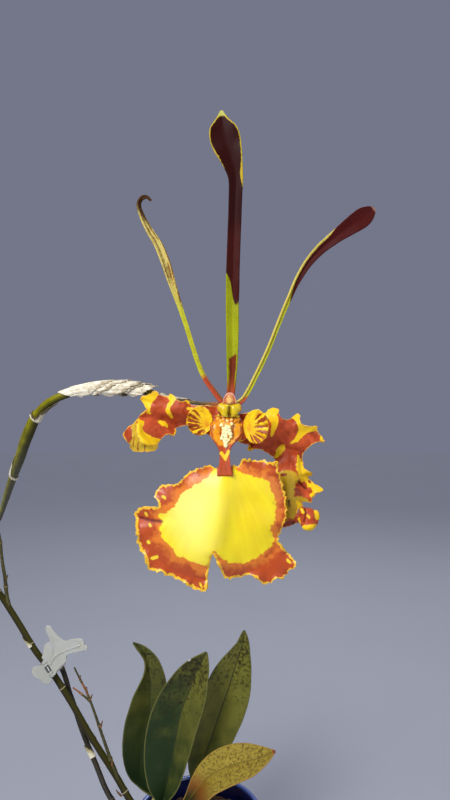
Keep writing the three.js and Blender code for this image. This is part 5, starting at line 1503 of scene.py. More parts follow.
class ORCHID_OT_laterals(bpy.types.Operator):
    """Waves the two banded lateral sepals"""

    bl_idname = "orchid.laterals"
    bl_label = "Lateral sepals"

    EDGE_STEPS = 700
    NET = 0.42

    def blade(self, name, sepal, seed):
        """A waved sheet with this sepal's outline, its middle line's depth, its folds and its marks."""
        outline = Line([(x, 0, z) for x, z in sepal["outline"]], closed=True)
        share = np.arange(self.EDGE_STEPS) / self.EDGE_STEPS
        edge = outline.at(share)
        outward = np.cross(outline.along(share), TO_VIEWER)
        edge += outward * (0.22 * wander(edge, 1.3, seed) + 0.16 * wander(edge, 0.6, seed + 3))[:, None]
        piece = cut_sheet(name, edge, self.NET)
        flat = places_of(piece) / MM
        border, from_edge, u = nearest_edge(flat, edge)
        spine = Line(sepal["spine"])
        places = spine.points[::6]
        gaps = np.linalg.norm(flat[:, None, [0, 2]] - places[None, :, [0, 2]], axis=2)
        weight = 1 / (gaps ** 2 + 0.6) ** 3
        weight /= weight.sum(axis=1, keepdims=True)
        height, count = sepal["waves"]
        fringe = np.exp(-from_edge / 2.2)
        points = flat.copy()
        points[:, 1] = weight @ places[:, 1] + 0.16 * gaps.min(axis=1) + 0.5 * wander(flat, 4.5, seed)
        points[:, 1] += height * fringe * (np.sin(TURN * count * u) + 0.8 * wander(border, 2.4, seed))
        front = flat[:, [0, 2]]
        for rise, width, path in sepal["folds"]:
            points[:, 1] -= rise * np.exp(-(near_line(front, path) / width) ** 2)
        reshape(piece, placed(points))
        paint(piece, {
            "yellow": np.max([inside(flat, patch) for patch in sepal["yellow"]], axis=0),
            "reverse": inside(flat, sepal["reverse"]),
            "brown": strokes(flat, sepal["brown"]),
            "shade": strokes(flat, sepal["shade"]),
            "edge": 0.14 - from_edge,
        })
        lay_out(piece, columns(gaps.min(axis=1) / 12, weight @ spine.shares[::6]))
        return piece

    def rolled_tip(self):
        tip = lump("sepal_rolled_tip", ROLLED_TIP, 0.2, 2)
        bloom = drawn(places_of(tip) / MM)
        front = bloom[:, [0, 2]]
        creased = np.zeros(len(bloom))
        for _, path in TIP_CREASES:
            creased += np.exp(-(near_line(front, path) / 0.35) ** 2)
        bloom[:, 1] += 0.5 * creased + 0.3 * wander(bloom, 1.6, 4.0)
        reshape(tip, placed(bloom))
        blank = np.full(len(bloom), -1.0)
        paint(tip, {
            "yellow": strokes(bloom, TIP_SPOTS), "reverse": blank, "brown": blank,
            "shade": strokes(bloom, TIP_CREASES), "edge": blank,
        })
        return tip

    def execute(self, context):
        settings = context.scene.orchid_bloom
        # Sepal tissue: satin, red-brown with clear yellow bars and spots, paler and greener on its reverse
        skin = tissue("banded sepal tissue", settings.bands, "#9e3a1a", [
            ("reverse", "#c6a32a", 0.35, 0.7, 1.6),
            ("yellow", "#f0c41a", 0.16, 0.45, 1.1),
            ("brown", "#8a3a1a", 0.2, 0.3, 1),
            ("edge", "#e3ab3c", 0.1, 0.4, 1.4),
            ("shade", "#4a1810", 0.25, 0.1, 1.2),
        ], patch=4.0, veins=(10, 14), relief=0.08, rough=0.42, shine=0.22, glow=0.1)
        for seed, (name, sepal) in enumerate(LATERALS.items()):
            piece = self.blade(name + "_blade", sepal, 5.0 * seed)
            thicken(piece, settings.petal_thickness, 0)
            finish(piece, skin, [name], angle=60)
        finish(self.rolled_tip(), skin)
        return {"FINISHED"}


# Lip

BLADE_OUTLINE = Line([(x, 0, z) for x, z in [
    (-3.4, -19.2), (-7.5, -19.2), (-11.2, -20.6), (-16.2, -24.4), (-21.4, -25.6), (-22.8, -28.8),
    (-21.2, -31.8), (-24, -31.6), (-28.1, -32.2), (-28.9, -36), (-28.4, -41), (-26.4, -47), (-24.6, -50.9),
    (-18.5, -53.2), (-12.1, -56.3), (-7, -57.6), (-6.3, -52), (-4.9, -46.4), (-3, -50.2), (-0.9, -53.6),
    (3, -53.2), (6.9, -52.9), (11.7, -55.6), (19, -51.8), (20.8, -48.9), (17.4, -44.9), (15.4, -41.4),
    (17.6, -35.7), (18, -29.7), (15.9, -21.8), (14.8, -18), (9.6, -17.4), (4.6, -16.8), (3.2, -18.8),
    (0, -19.4),
]], closed=True)
BLADE_CENTRE = np.array([-4.7, 0, -34.3])
DISC_OUTLINE = [
    (-3.4, -19), (-5.4, -21.6), (-9.2, -24.4), (-12, -25.9), (-14, -27.8), (-15.4, -29.7), (-16.8, -31.6),
    (-19.2, -33.5), (-21.1, -34.3), (-19.7, -36.4), (-20.6, -38.3), (-20.9, -40.7), (-19.7, -42.1),
    (-17.8, -44), (-16.3, -46.4), (-13, -47.8), (-9.2, -49.2), (-7.3, -50.2), (-6.1, -48.3), (-4.7, -45.3),
    (-1.6, -47.8), (2.3, -48.8), (6.1, -48.8), (9.5, -46.9), (12.3, -44.5), (14.2, -42.1), (13, -38.8),
    (14.7, -34.9), (15, -32.1), (14.2, -28.7), (13, -25.4), (12.8, -24), (9.5, -22.5), (6.1, -21.6),
    (3.2, -20.6), (0.9, -19.2),
]
# Stray dots on the lip, and the painted shade along the crease in its left corner
DOTS = [
    (0.47, [(-24.9, -42.4), (-24.6, -42.7)]), (0.41, [(-20.3, -28.4), (-19.6, -29)]),
    (0.37, [(-25.6, -33.4), (-25.2, -34.3)]), (0.37, [(-24.3, -37.1), (-24, -37.7)]),
    (0.5, [(-23.7, -47.7), (-22.1, -47.1)]), (0.37, [(-8.7, -55.5), (-8.1, -56.7)]),
    (0.44, [(18.4, -48.3), (19.3, -48.9)]),
]
CREASE = [(0.55, [(-27.4, -34.9), (-24.3, -35.8), (-20.6, -36.2)])]
CLAW_LINE = Line(placed([
    (-0.3, 1.4, -4.2), (-0.4, -0.6, -5), (-0.7, -2.6, -7.7), (-1.1, -3.8, -10.8), (-1.15, -4.6, -13.9),
    (-1.1, -5.5, -17), (-1.1, -6.6, -19.5), (-1.1, -7.45, -22),
]))
CLAW_WIDTH = [
    (0, 3), (0.1, 4.6), (0.25, 5.2), (0.36, 4.6), (0.46, 3.5), (0.54, 2.3), (0.62, 1.65), (0.75, 1.6),
    (0.88, 1.95), (1, 2.4),
]
CHEVRON = [(0.55, [(-2.2, -15.1), (-1.0, -16.6), (0.2, -14.5)]), (0.4, [(-1.0, -16.3), (-1.0, -17.0)])]
# Each side lobe's middle, half width and height, tilt, and the hub that its dashes fan out from
SIDE_LOBES = [((-8.9, -4.9), (4, 4.5), -0.5, (-6.3, -6.2)), ((8.7, -6.7), (3.9, 5.3), 0.5, (6, -7.2))]


def blade_depth(fringe, u, x, z):
    """How far the lip's blade stands back from the bloom's plane: it swells along a soft ridge, and its
    fringe, which is 1 at the edge, is frilled."""
    ridge = x + 1.2 - (z + 21) * 0.16
    out = np.minimum(np.hypot((x - BLADE_CENTRE[0]) / 23, (z - BLADE_CENTRE[2]) / 20), 1)
    swell = 3.1 * (1 - out ** 2.2) + 2.2 * np.exp(-(ridge / 4.6) ** 2) * (1 - out ** 3)
    crease = 1.7 * np.exp(-((z + 35) / 2.2) ** 2) * np.maximum(0, (-x - 14) / 14)
    frill = 0.8 * fringe * np.sin(TURN * (17 * u + 0.4 * np.sin(TURN * 3 * u)))
    under_claw = 1.1 * np.exp(-((x + 1.1) / 2.4) ** 2) * np.clip((z + 21.2) / 1.5, 0, 1)
    return -3.4 - swell + crease + frill + under_claw + 0.9 * out ** 3


class ORCHID_OT_lip(bpy.types.Operator):
    """Spreads the lip: its frilled blade, its claw and its two side lobes"""

    bl_idname = "orchid.lip"
    bl_label = "Lip"

    EDGE_STEPS = 900
    NET = 0.45

    def shape_blade(self, blade, edge):
        """Swells and frills the flat sheet, paints it, and fans its veins out from the claw."""
        flat = places_of(blade) / MM
        border, from_edge, u = nearest_edge(flat, edge)
        fringe = np.exp(-from_edge / 1.3)
        points = flat.copy()
        points[:, 1] = blade_depth(fringe, u, flat[:, 0], flat[:, 2])
        points[:, 1] += 1.0 * fringe * wander(border, 2.0, 8.0) + 0.5 * wander(flat, 7.0, 2.0)
        reshape(blade, placed(points))
        low_left = np.clip((-flat[:, 0] - flat[:, 2] - 40) / 30, 0, 1)
        margin = 0.7 * wander(border, 1.3, 2.0) - inside(flat, DISC_OUTLINE)
        paint(blade, {
            "margin": margin,
            "blotch": 0.5 * margin - 1.1 + 1.2 * wander(border, 2.4, 6.0),
            "rim": 0.4 + 0.4 * low_left + 0.5 * wander(border, 0.9, 3.0) - from_edge,
            "dots": strokes(flat, DOTS),
            # Painted shade along the crease in the left corner
            "crease": strokes(flat, CREASE),
            "foot": np.minimum(flat[:, 2] + 22.1, 2.4 - np.abs(flat[:, 0] + 1.1)),
            # Painted highlight left of the ridge
            "pale": 1 - np.hypot((flat[:, 0] + 10.5) / 6.5, (flat[:, 2] + 33) / 12),
        })
        from_foot = flat - [-1.1, 0, -13]
        turned = np.arctan2(from_foot[:, 0], -from_foot[:, 2]) / np.pi
        lay_out(blade, columns(turned, np.linalg.norm(from_foot, axis=1) / 45))

    def claw(self):
        width = profile(CLAW_WIDTH)

        def marks(u, s, points):
            bloom = drawn(points)
            from_edge = width(s) * (1 - np.abs(2 * u - 1))
            return {
                "chevron": strokes(bloom, CHEVRON),
                "gold": np.minimum(12.6 + bloom[:, 2], 1.4 * (from_edge - 0.5)),
            }

        shape = ribbon(
            CLAW_LINE, lambda s: np.array(TO_VIEWER), width, width, lambda s: 14 * (1 - s), crease=0.2)
        claw = sheet("lip_claw", shape, 24, 70, False, marks)
        thicken(claw, 0.9 * MM)
        return claw

    def side_lobe(self, n, middle, halves, tilt, hub):
        """A frilled fan: u runs round it, and s from its hub to its edge."""
        side = math.copysign(1, middle[0])

        def place(u, s):
            angle = TURN * u
            share = 1 - (1 - s) ** 1.2
            rounded = columns(np.cos(angle), np.sin(angle))
            ragged = 0.4 * wander(np.insert(rounded * 4, 1, 0, axis=1), 0.9, 3.0 * n + 1)
            edge = rounded * halves * (1 + 0.1 * ragged)[:, None] + middle
            flat = hub + (edge - hub) * share[:, None]
            frill = (0.5 + 0.5 * side * np.cos(angle)) * share ** 3
            y = -2.9 - tilt * (flat[:, 0] - middle[0]) * 0.4 - 0.5 * share ** 2
            y += frill * (0.5 * np.sin(7 * angle + n) + 0.25 * np.sin(16 * angle))
            return placed(np.insert(flat, 1, y, axis=1))

        def marks(u, s, points):
            angle = TURN * u
            inner = np.clip(-side * np.cos(angle), 0, 1)
            upper = np.clip(0.9 * np.sin(angle) - 0.45 * side * np.cos(angle), 0, 1) ** 2
            rays = np.sin(13 * angle + 1.2 * np.sin(2 * angle + n))
            uneven = wander(columns(np.cos(angle), np.sin(angle), 0) * 4, 1.2, 5.0 + n)
            broken = wander(columns(s * np.cos(angle), s * np.sin(angle), 0) * 4, 0.7, 9.0 + n)
            band = 1 - np.abs(s - 0.7 + 0.12 * uneven) / (0.31 + 0.1 * uneven)
            ray = 0.8 * rays + 0.2 + 0.6 * uneven + 0.9 * broken
            return {"dash": np.minimum(ray, band) - 1.2 * inner - 1.3 * upper, "heart": 0.2 - s}

        return sheet(f"side_lobe_{n}", place, 180, 30, True, marks)

    def arm(self, n, x, z):
        """The arm that carries a side lobe, from the callus to the lobe's hub."""
        line = Line(placed([(-0.6, -2.2, -8.2), (x * 0.55, -2.2, z - 1.0), (x * 1.1, -1.6, z + 0.6)]))

        def marks(u, s, points):
            bloom = drawn(points)
            front = math.copysign(1, x) * np.cos(TURN * u)
            return {
                "chevron": np.minimum(3 * (front - 0.9), 4 * (0.6 - s)),
                "gold": np.minimum(4.4 - np.abs(bloom[:, 0] + 0.6), -bloom[:, 2] - 5.2),
            }

        shape = tube(line, lambda u, s: (2.2 + 3.6 * s * (1 - s), 0.6), ends=1.2)
        return sheet(f"lobe_arm_{n}", shape, 24, 36, True, marks)

    def execute(self, context):
        settings = context.scene.orchid_bloom
        skin = {"rough": 0.4, "shine": 0.25, "glow": 0.12}
        edge = BLADE_OUTLINE.at(np.arange(self.EDGE_STEPS) / self.EDGE_STEPS)
        teeth = 0.7 * wander(edge, 1.7, 4.0) + 0.55 * wander(edge, 0.8, 9.0) + 0.4 * wander(edge, 0.45, 1.0)
        edge += unit(edge - BLADE_CENTRE) * teeth[:, None]
        blade = cut_sheet("lip_blade", edge, self.NET)
        self.shape_blade(blade, edge)
        # Lip tissue: thin, satin and faintly veined outwards, clear yellow with a burnt orange margin, a
        # yellow frilled rim about half a millimetre wide, and a few yellow dots; a painted highlight lies
        # left of its ridge, and painted shade along the crease in its left corner
        blade_skin = tissue("lip tissue", settings.lip, "#f0d20a", [
            # Painted highlight left of the ridge
            ("pale", "#fff47c", 0.9, 0.5, 9),
            ("margin", "#de7a20", 0.22, 0.9, 1.1),
            ("blotch", "#b4460f", 0.8, 1.4, 1.5),
            # Painted shade along the crease in the left corner
            ("crease", "#6b1408", 0.5, 0.3, 1.6),
            ("dots", "#f0cf2c", 0.2, 0.3, 1),
            ("rim", "#f0bc28", 0.16, 0.4, 0.8),
            ("foot", "#b04a1e", 0.2, 0.1, 1.5),
        ], patch=9.0, veins=(36, 3), relief=0.03, **{**skin, "rough": 0.42, "shine": 0.5})
        thicken(blade, settings.lip_thickness, 0)
        finish(blade, blade_skin, ["lip"], angle=60)

        # The lip's narrow waist: the same tissue, red-brown with a yellow chevron, golden under the column
        claw_skin = tissue("lip claw tissue", "#bb4c20", "#9c3814", [
            ("gold", "#e39a1a", 0.6, 1.2, 1.3),
            ("chevron", "#f2c420", 0.2, 0.3, 1),
        ], patch=3.0, veins=(12, 6), relief=0.06, **skin)
        finish(self.claw(), claw_skin)
        lobes = join("lip_side_lobes", [self.side_lobe(n, *lobe) for n, lobe in enumerate(SIDE_LOBES)])
        thicken(lobes, 0.7 * MM, 0)
        # Side lobes: the lip's yellow with burnt orange-brown dashes that fan out to the frill
        lobe_skin = tissue("side lobe tissue", "#fbd21a", "#f0ba12", [
            ("dash", "#9c4410", 0.35, 0.6, 0.7),
            ("heart", "#e39a1a", 0.2, 0.2, 1),
        ], patch=2.5, veins=(26, 3), relief=0.07, **skin)
        finish(lobes, lobe_skin, angle=60)
        arms = [self.arm(n, *lobe[-1]) for n, lobe in enumerate(SIDE_LOBES)]
        finish(join("lip_lobe_arms", arms), claw_skin)
        return {"FINISHED"}


class ORCHID_OT_callus(bpy.types.Operator):
    """Heaps up the warty callus on the lip"""

    bl_idname = "orchid.callus"
    bl_label = "Callus"

    # Rows of paired warts: height, how far out from the middle, and radius
    WARTS = [(-6, 1.65, 0.62), (-7.1, 0.85, 0.6), (-8.2, 0.95, 0.6), (-9.2, 1.2, 0.62), (-10.1, 1.35, 0.62),
             (-11.1, 0.7, 0.55)]

    def execute(self, context):
        random = np.random.default_rng(5)
        balls = [((-0.6, -3.4, -8), (2.4, 1.3, 4.4)), ((-0.75, -4.2, -12.2), (0.85, 1.1, 1.3)),
                  ((-0.1, -3, -4.8), (2.5, 0.9, 1.2)), ((-1.5, -3.8, -4.6), (0.75, 0.6, 0.7)),
                  ((-0.3, -3.9, -5), (0.7, 0.65, 0.75)), ((0.95, -3.8, -4.6), (0.75, 0.6, 0.65)),
                  ((2, -3.6, -5.1), (0.6, 0.5, 0.6)), ((-2.5, -3.5, -5.2), (0.6, 0.5, 0.6))]
        for side in (-1, 1):
            balls.append(((-0.6 + side * 3.1, -3.0, -8.4), (2.0, 1.2, 3.0)))
            balls.append(((-0.2 + side * 2.7, -2.9, -4.5), (1.2, 0.8, 1.0)))
            for z, out, size in self.WARTS:
                at = -0.6 + side * out + random.uniform(-0.15, 0.15)
                size = size * random.uniform(0.85, 1.1)
                balls.append(((at, -4.6 + random.uniform(-0.15, 0.15), z + 0.2 * side), (size, 0.8, size)))
        for at, z in ((-0.5, -6.7), (-0.7, -7.6), (-0.5, -8.7), (-0.75, -9.7), (-0.6, -10.5), (-0.7, -11.8)):
            balls.append(((at, -4.8, z), (0.62, 0.75, 0.6)))
        balls.append(((-0.75, -4.9, -12.7), (0.55, 0.6, 0.6)))
        callus = lump("callus_warts", balls, 0.15, 1)
        bloom = drawn(places_of(callus) / MM)
        raised = -bloom[:, 1] - 3.5 - 1.35 * np.sqrt(np.clip(1 - ((bloom[:, 2] + 8.4) / 5.2) ** 2, 0, 1))
        crest = np.minimum(strokes(bloom, [
            (2.4, [(-0.5, -6.4), (-0.6, -10)]), (1.4, [(-0.7, -10), (-0.75, -13)]),
        ]), 2.2 * raised)
        border = strokes(bloom, [
            (0.3, [(-4.9, -6.2), (-4.9, -9.6), (-3.4, -11.4), (-1.9, -11.9)]),
            (0.3, [(4, -5.8), (4.1, -9.2), (2.6, -11), (0.5, -11.6)]),
            (0.22, [(-2.6, -4), (-0.1, -3.7), (2.4, -4)]),
            (0.2, [(-2.5, -6.9), (-2.4, -9.6)]),
            (0.16, [(-0.95, -4.1), (-0.95, -5.4)]),
            (0.16, [(0.35, -4.1), (0.3, -5.5)]),
            (0.14, [(1.6, -4.4), (1.4, -5.6)]),
            (0.2, [(1.5, -6.9), (1.4, -9.6)]),
        ])
        # The low mark is painted shade where the callus sinks back towards the lip
        paint(callus, {"crest": crest, "border": border, "low": bloom[:, 1] + 3.0})
        # Callus: waxy, glistening warts, cream-white on the crest and egg-yolk orange at its sides, with
        # painted shade where it sinks back towards the lip
        skin = tissue("waxy callus", "#f0ac18", "#dd8414", [
            # Painted shade where the callus sinks back towards the lip
            ("low", "#b0561a", 0.5, 0.3, 1.2),
            ("border", "#9c3c12", 0.25, 0.3, 0.9),
            ("crest", "#fdf3b4", 0.5, 0.5, 0.8),
        ], patch=1.4, veins=(1, 1), relief=0.05, rough=0.3, wax=0.15, wax_rough=0.2, glow=0.12)
        finish(callus, skin, ["callus"])
        return {"FINISHED"}


class ORCHID_OT_column(bpy.types.Operator):
    """Models the column with its fringed wings, and the anther cap on it"""

    bl_idname = "orchid.column"
    bl_label = "Column"

    def execute(self, context):
        balls = [
            ((0.2, 0.8, -0.8), (2.4, 2.4, 2.3)), ((0.3, -1.6, -0.8), (2.8, 2.6, 2.6)),
            ((0.35, -3.2, -1), (2.9, 1.9, 2.4)), ((-1.15, -4.4, -1.7), (1.35, 0.9, 1.9)),
            ((1.8, -4.4, -1.75), (1.35, 0.9, 1.9)), ((0.3, -4.1, -3.2), (1.8, 0.8, 0.7)),
            ((-2.1, -3.9, -0.8), (1.45, 0.9, 1.5)), ((2.8, -3.9, -0.8), (1.45, 0.9, 1.5)),
            ((-2.8, -3.5, -3.1), (0.7, 0.4, 0.45)), ((2.9, -3.5, -3.5), (0.7, 0.4, 0.45)),
        ]
        column = lump("column_club", balls, 0.15, 6)
        bloom = drawn(places_of(column) / MM)
        front = bloom[:, 1] < -3
        groove = np.where(front, strokes(bloom, [(1.0, [(0.35, -0.9), (0.35, -3.4)])]), -1)
        bloom[:, 1] += 0.7 * np.clip(groove, 0, 1) ** 1.5
        reshape(column, placed(bloom))
        shoulders = np.maximum(bloom[:, 2] - 0.7, np.abs(bloom[:, 0] - 0.35) - 3.3)
        paint(column, {
            # Painted shade in the groove, and a painted shadow line along its floor
            "pit": groove - 0.35,
            "seam": np.where(front, strokes(bloom, [
                (0.22, [(0.35, -0.3), (0.35, -3.4)]), (0.55, [(0.35, -2.9), (0.35, -3.3)]),
            ]), -1),
            "warm": np.minimum(shoulders, bloom[:, 2] + 1.8),
            "back": bloom[:, 1] + 0.5,
        })
        # Column: waxy and rounded, yellow-green, amber on its shoulders, with painted shade in the groove
        # down its face and a painted shadow line along the groove's floor, wider at its foot
        skin = tissue("waxy column", "#e8c81a", "#c4a814", [
            ("back", "#a85a2e", 0.8, 0.4, 1.5),
            ("warm", "#c98a2a", 0.6, 0.5, 1),
            # Painted shade in the groove, and a painted shadow line along its floor
            ("pit", "#a08a10", 0.3, 0.2, 0.9),
            ("seam", "#6e4406", 0.15, 0.1, 0.8),
        ], patch=1.4, veins=(1, 1), relief=0.05, rough=0.32, wax=0.12, wax_rough=0.2, glow=0.1)
        finish(column, skin, ["column"])

        balls = [
            ((0.4, -3.9, 1.5), (2, 1.6, 1.8)), ((0.45, -4, 2.6), (1.55, 1.5, 1.4)),
            ((0.4, -5.1, 1), (0.7, 0.5, 0.7)),
        ]
        arch = Line(placed([(-1.6, -4.6, 0.3), (-1.45, -5, 1.7), (-0.8, -5.2, 3), (0.45, -5.2, 3.75),
                            (1.7, -5.2, 3), (2.3, -5, 1.7), (2.45, -4.6, 0.3)]))
        rim = sheet("hood_rim", tube(arch, lambda u, s: (0.15, 0.26), ends=0.3), 12, 60, True)
        cap = lump("anther_cap_hood", balls, 0.13, 2, [rim])
        bloom = drawn(places_of(cap) / MM)
        paint(cap, {
            "pale": 0.8 - np.hypot(bloom[:, 0] - 0.4, 0.6 * (bloom[:, 2] - 1.6)),
            "low": 0.4 - bloom[:, 2],
            "edge": 0.22 - near_line(bloom[:, [0, 2]], drawn(arch.points[::10])[:, [0, 2]]),
        })
        # Anther cap: a waxy hood, salmon at its rim and golden in its middle
        hood = tissue("waxy anther cap", "#d98a5c", "#bf6438", [
            ("pale", "#e8b666", 0.5, 0.3, 1),
            ("low", "#b98622", 0.5, 0.2, 1),
            ("edge", "#e6a283", 0.2, 0.1, 1),
        ], patch=1.5, veins=(1, 1), relief=0.03, rough=0.4, wax=0.06)
        finish(cap, hood, ["anther_cap"])

        parts = []
        for side in (-1, 1):
            for i in range(11):
                angle = math.radians(-80 + 16 * i)
                out, up = side * math.cos(angle), math.sin(angle)
                foot = np.array([0.35 + side * 2.6 + 0.7 * out, -3.7, -1.1 + 1.7 * up])
                outward = np.array([0.6 * out, -0.35 + 0.1 * (i % 3), 0.55 * up])
                line = Line(placed([foot, foot + outward * 0.5 + [0, -0.1, 0.05], foot + outward]))
                hair = tube(line, lambda u, s: 0.12 * (1 - 0.5 * s), ends=0.15)
                parts.append(sheet(f"hair_{side}_{i}", hair, 6, 6, True))
        # Fringe of the wings: soft maroon hairs with swollen feet
        fringe = tissue("wing fringe", "#6e2c22", "#451a1c", patch=1.0, veins=(1, 1), relief=0.02,
                        rough=0.45)
        finish(join("wing_fringe", parts), fringe)
        return {"FINISHED"}


# Plant clip

CLIP_TURN = Matrix.Rotation(math.atan2(-0.552, 0.834), 4, "Y")
CLIP_CENTRE = Vector((-108.1, 0.35, 197))
PIN_DEPTH = -9.6
FIRST_WING = [
    (-1, -6.2), (2.6, -6.2), (5, -4.8), (8.2, -3.8), (11.7, -3), (15.3, -2.3), (18.2, 1.2), (24.4, -0.2),
    (30.2, -1.9), (33.6, -3.2), (35.4, -1.3), (34.2, 1), (35.2, 3), (34.6, 5.6), (32, 7.6), (26.6, 9.7),
    (23.1, 10.6), (21, 15.1), (20.1, 19.4), (19.8, 25), (17.5, 26.8), (15.2, 24), (13.4, 16.2), (8.8, 16.1),
    (3.4, 11.4), (-1, 6.6),
]
SECOND_WING = [
    (-1, -4.6), (1.2, -5.4), (2.2, -7.6), (4.4, -8.8), (7, -8), (8.6, -5), (9, -1.8), (10.6, 0.6), (11, 4.6),
    (9.4, 7.2), (6.6, 7.6), (3.4, 5.4), (-1, 4.8),
]
# Ribs that stiffen each wing, as chains of points on its face
FIRST_RIBS = [[(3, 1), (10, 5), (20, 4.6), (32, 2.4)], [(5, 3), (12, 10), (16.6, 17), (17.6, 24.6)]]
SECOND_RIBS = [[(2, -1), (5, -3.4), (6, -6.6)], [(2, 1), (6, 2.4), (9, 4.8)]]


def in_clip(piece):
    """Takes a piece from the clip's own frame, with its pin along Z, to where the clip sits."""
    piece.data.transform(Matrix.Translation(CLIP_CENTRE * MM) @ CLIP_TURN)


class ORCHID_OT_clip(bpy.types.Operator):
    """Moulds the two halves of the plant clip: wings, knuckles and jaws"""

    bl_idname = "orchid.clip"
    bl_label = "Plant clip"

    EDGE_STEPS = 110
    # Radii of the knuckles, of the rooms cut for the other half's knuckles, of the pin's hole and of the jaws
    KNUCKLE, ROOM, HOLE, JAW = 2.1, 2.4, 1.2, 7.475
    JAW_DEPTH = 1.24

    def wing(self, name, outline, ribs, turn):
        ring = Line([(x, 0, z) for x, z in outline], closed=True)
        deselect()
        bpy.ops.mesh.primitive_circle_add(vertices=self.EDGE_STEPS, radius=1, fill_type="NGON")
        plate = bpy.context.object
        reshape(plate, ring.at(np.arange(self.EDGE_STEPS) / self.EDGE_STEPS))
        modify(plate, "SOLIDIFY", thickness=1.3 * MM, offset=0)
        parts = [plate]
        for n, rib in enumerate(ribs):
            line = Line([(x, -0.6, z) for x, z in rib])
            round_rib = tube(line, lambda u, s: 0.75, ends=0.8)
            parts.append(sheet(f"{name}_rib_{n}", round_rib, 12, 30, True))
        whole = join(name, parts)
        whole.data.transform(
            Matrix.Translation((0, PIN_DEPTH * MM, 0)) @ Matrix.Rotation(math.radians(turn), 4, "Z"))
        return whole

    def half(self, name, side, outline, ribs, handle, knuckles, others):
        turn = -handle if side > 0 else 180 + handle
        parts = [self.wing(name + "_wing", outline, ribs, turn)]
        for low, high in knuckles:
            parts.append(rod(self.KNUCKLE, high - low, (0, PIN_DEPTH, (low + high) / 2)))
            bpy.ops.object.transform_apply(location=True, rotation=True, scale=True)
            start, end = (-98, 76) if side > 0 else (278, 104)
            angles = np.radians(np.linspace(start, end, 15))
            arc = Line(columns(self.JAW * np.cos(angles), self.JAW * np.sin(angles), (low + high) / 2))

            def jaw(u, s):
                """A bar with a squarish section that bends round the stems."""
                right, up = np.cos(TURN * u), np.sin(TURN * u)
                square = (right ** 6 + up ** 6) ** (-1 / 6)
                around = unit(arc.at(s) * [1, 1, 0]) * (self.JAW_DEPTH / 2 * square * right)[:, None]
                around[:, 2] = (high - low) / 2 * square * up
                closing = np.where((s < 1e-6) | (s > 1 - 1e-6), 0, 1)
                return arc.at(s) + around * closing[:, None]

            parts.append(sheet(f"{name}_jaw_{low}", jaw, 28, 60, True))
        whole = join(name, parts)
        modify(whole, "REMESH", mode="VOXEL", voxel_size=0.26 * MM)
        rooms = [(-12.0, 12.0, self.HOLE), (-2.4, 2.4, self.ROOM)]
        rooms += [(low - 0.3, high + 0.3, self.ROOM) for low, high in others]
        for low, high, radius in rooms:
            cut_away(whole, rod(radius, high - low, (0, PIN_DEPTH, (low + high) / 2)), "MANIFOLD")
        modify(whole, "SMOOTH", factor=0.5, iterations=3)
        in_clip(whole)
        return whole

    def execute(self, context):
        plastic = moulded_plastic(context.scene.orchid_clip)
        ends, inner = [(-6.2, -4.4), (4.4, 6.2)], [(-4.1, -2.4), (2.4, 4.1)]
        first = self.half("clip_first_moulding", 1, FIRST_WING, FIRST_RIBS, 10, ends, inner)
        finish(first, plastic, ["clip_half_first"])
        second = self.half("clip_second_moulding", -1, SECOND_WING, SECOND_RIBS, 48, inner, ends)
        finish(second, plastic, ["clip_half_second"], "clip_lever")
        return {"FINISHED"}


class ORCHID_OT_spring(bpy.types.Operator):
    """Winds the clip's coil spring, and puts in its pin"""

    bl_idname = "orchid.spring"
    bl_label = "Pin and spring"

    def execute(self, context):
        wire = drawn_wire()
        turns = 3.5
        steps = np.linspace(0, 1, int(turns * 12) + 1)
        angles = TURN * turns * steps
        coil = Line(columns(1.65 * np.cos(angles), 1.65 * np.sin(angles) + PIN_DEPTH, -1.7 + 3.4 * steps))
        radius = context.scene.orchid_clip.wire / MM
        winding = tube(coil, lambda u, s: radius, (0, 0, 1), 0.3)
        spring = sheet("spring_coil", winding, 14, 260, True)
        in_clip(spring)
        finish(spring, wire, ["clip_spring"])
        rod(0.9, 14, (0, PIN_DEPTH, 0), 36)
        bpy.ops.object.transform_apply(location=True, rotation=True, scale=True)
        pin = named("hinge_pin")
        modify(pin, "BEVEL", width=0.3 * MM, segments=3, limit_method="ANGLE", angle_limit=math.radians(60))
        in_clip(pin)
        finish(pin, wire, ["clip_pin"], angle=40)
        return {"FINISHED"}


# Floor, lights and camera


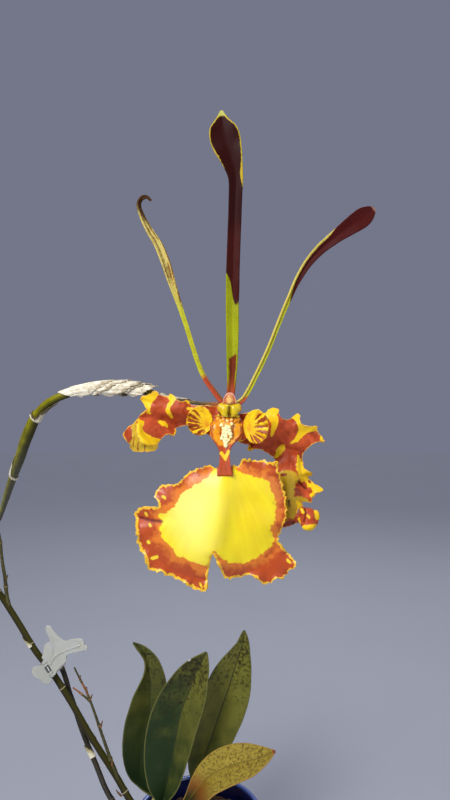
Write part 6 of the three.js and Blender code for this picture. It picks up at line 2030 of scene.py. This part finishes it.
class ORCHID_OT_stage(bpy.types.Operator):
    """Sets up the pale floor, the soft studio lights and the camera"""

    bl_idname = "orchid.stage"
    bl_label = "Stage"

    # Name, place, size in metres and power in watts
    LIGHTS = [
        ("key_light", (-0.46, -0.96, 0.94), 0.45, 12.5),
        ("fill_light", (0.95, -1, 0.6), 0.9, 3.5),
        ("back_light", (0.3, 0.9, 1.2), 0.6, 4),
        ("sky_light", (0, 3.5, 5), 9, 105),
    ]
    AIM = Vector((0, -0.15, 0.28))
    # The photo's view: the camera's place, and its focal length and the picture's height in pixels
    VIEWPOINT, FOCAL, TALL = (0.019, -0.452, 0.39), 616, 800
    SENSOR = 36

    def execute(self, context):
        scene = context.scene
        deselect()
        bpy.ops.mesh.primitive_plane_add(size=8)
        floor = bpy.context.object
        floor.name = "studio_floor"
        # Painted studio board: matt and pale grey, with a faint mottling
        material, tree, shader = new_material("matt painted board", {"Roughness": 0.9})
        cloud = noise_of(tree, put(tree, "TexCoord").outputs["Object"], 4.0, 3.0)
        tree.links.new(mixed(tree, cloud, "#b0b3bd", "#a9acb6"), shader.inputs["Base Color"])
        floor.data.materials.append(material)
        world = scene.world or bpy.data.worlds.new("studio")
        scene.world = world
        world.use_nodes = True
        backdrop = world.node_tree.nodes["Background"]
        backdrop.inputs["Color"].default_value = colour("#737789")
        for name, place, size, power in self.LIGHTS:
            light = bpy.data.lights.new(name, "AREA")
            light.size = size
            light.energy = power
            lamp = bpy.data.objects.new(name, light)
            scene.collection.objects.link(lamp)
            lamp.location = place
            lamp.rotation_euler = (self.AIM - Vector(place)).to_track_quat("-Z", "Y").to_euler()
        lens = bpy.data.cameras.new("camera")
        lens.sensor_width = self.SENSOR
        lens.lens = self.SENSOR * self.FOCAL / self.TALL
        camera = bpy.data.objects.new("camera", lens)
        scene.collection.objects.link(camera)
        camera.location = self.VIEWPOINT
        camera.rotation_euler = (math.radians(90), 0, 0)
        scene.camera = camera
        scene.view_settings.view_transform = "Standard"
        return {"FINISHED"}


class ORCHID_PT_panel(bpy.types.Panel):
    """Lists the orchid's sizes and the operators that build its pieces"""

    bl_label = "Orchid"
    bl_space_type = "VIEW_3D"
    bl_region_type = "UI"
    bl_category = "Orchid"

    def draw(self, context):
        for key in SETTINGS:
            settings = getattr(context.scene, key)
            for name in settings.__annotations__:
                self.layout.prop(settings, name)
        for operator in OPERATORS:
            self.layout.operator(operator.bl_idname)


OPERATORS = (
    ORCHID_OT_stage, ORCHID_OT_pot, ORCHID_OT_mix, ORCHID_OT_roots, ORCHID_OT_bulbs, ORCHID_OT_leaves,
    ORCHID_OT_spikes, ORCHID_OT_sheaths, ORCHID_OT_pedicel, ORCHID_OT_antennae, ORCHID_OT_laterals,
    ORCHID_OT_lip, ORCHID_OT_callus, ORCHID_OT_column, ORCHID_OT_clip, ORCHID_OT_spring,
)
CLASSES = (*SETTINGS.values(), *OPERATORS, ORCHID_PT_panel)


def register():
    for cls in CLASSES:
        bpy.utils.register_class(cls)
    for key, group in SETTINGS.items():
        setattr(bpy.types.Scene, key, bpy.props.PointerProperty(type=group))


def unregister():
    for key in SETTINGS:
        delattr(bpy.types.Scene, key)
    for cls in reversed(CLASSES):
        bpy.utils.unregister_class(cls)


def main():
    register()
    for operator in OPERATORS:
        category, name = operator.bl_idname.split(".")
        getattr(getattr(bpy.ops, category), name)()


if __name__ == "__main__":
    main()
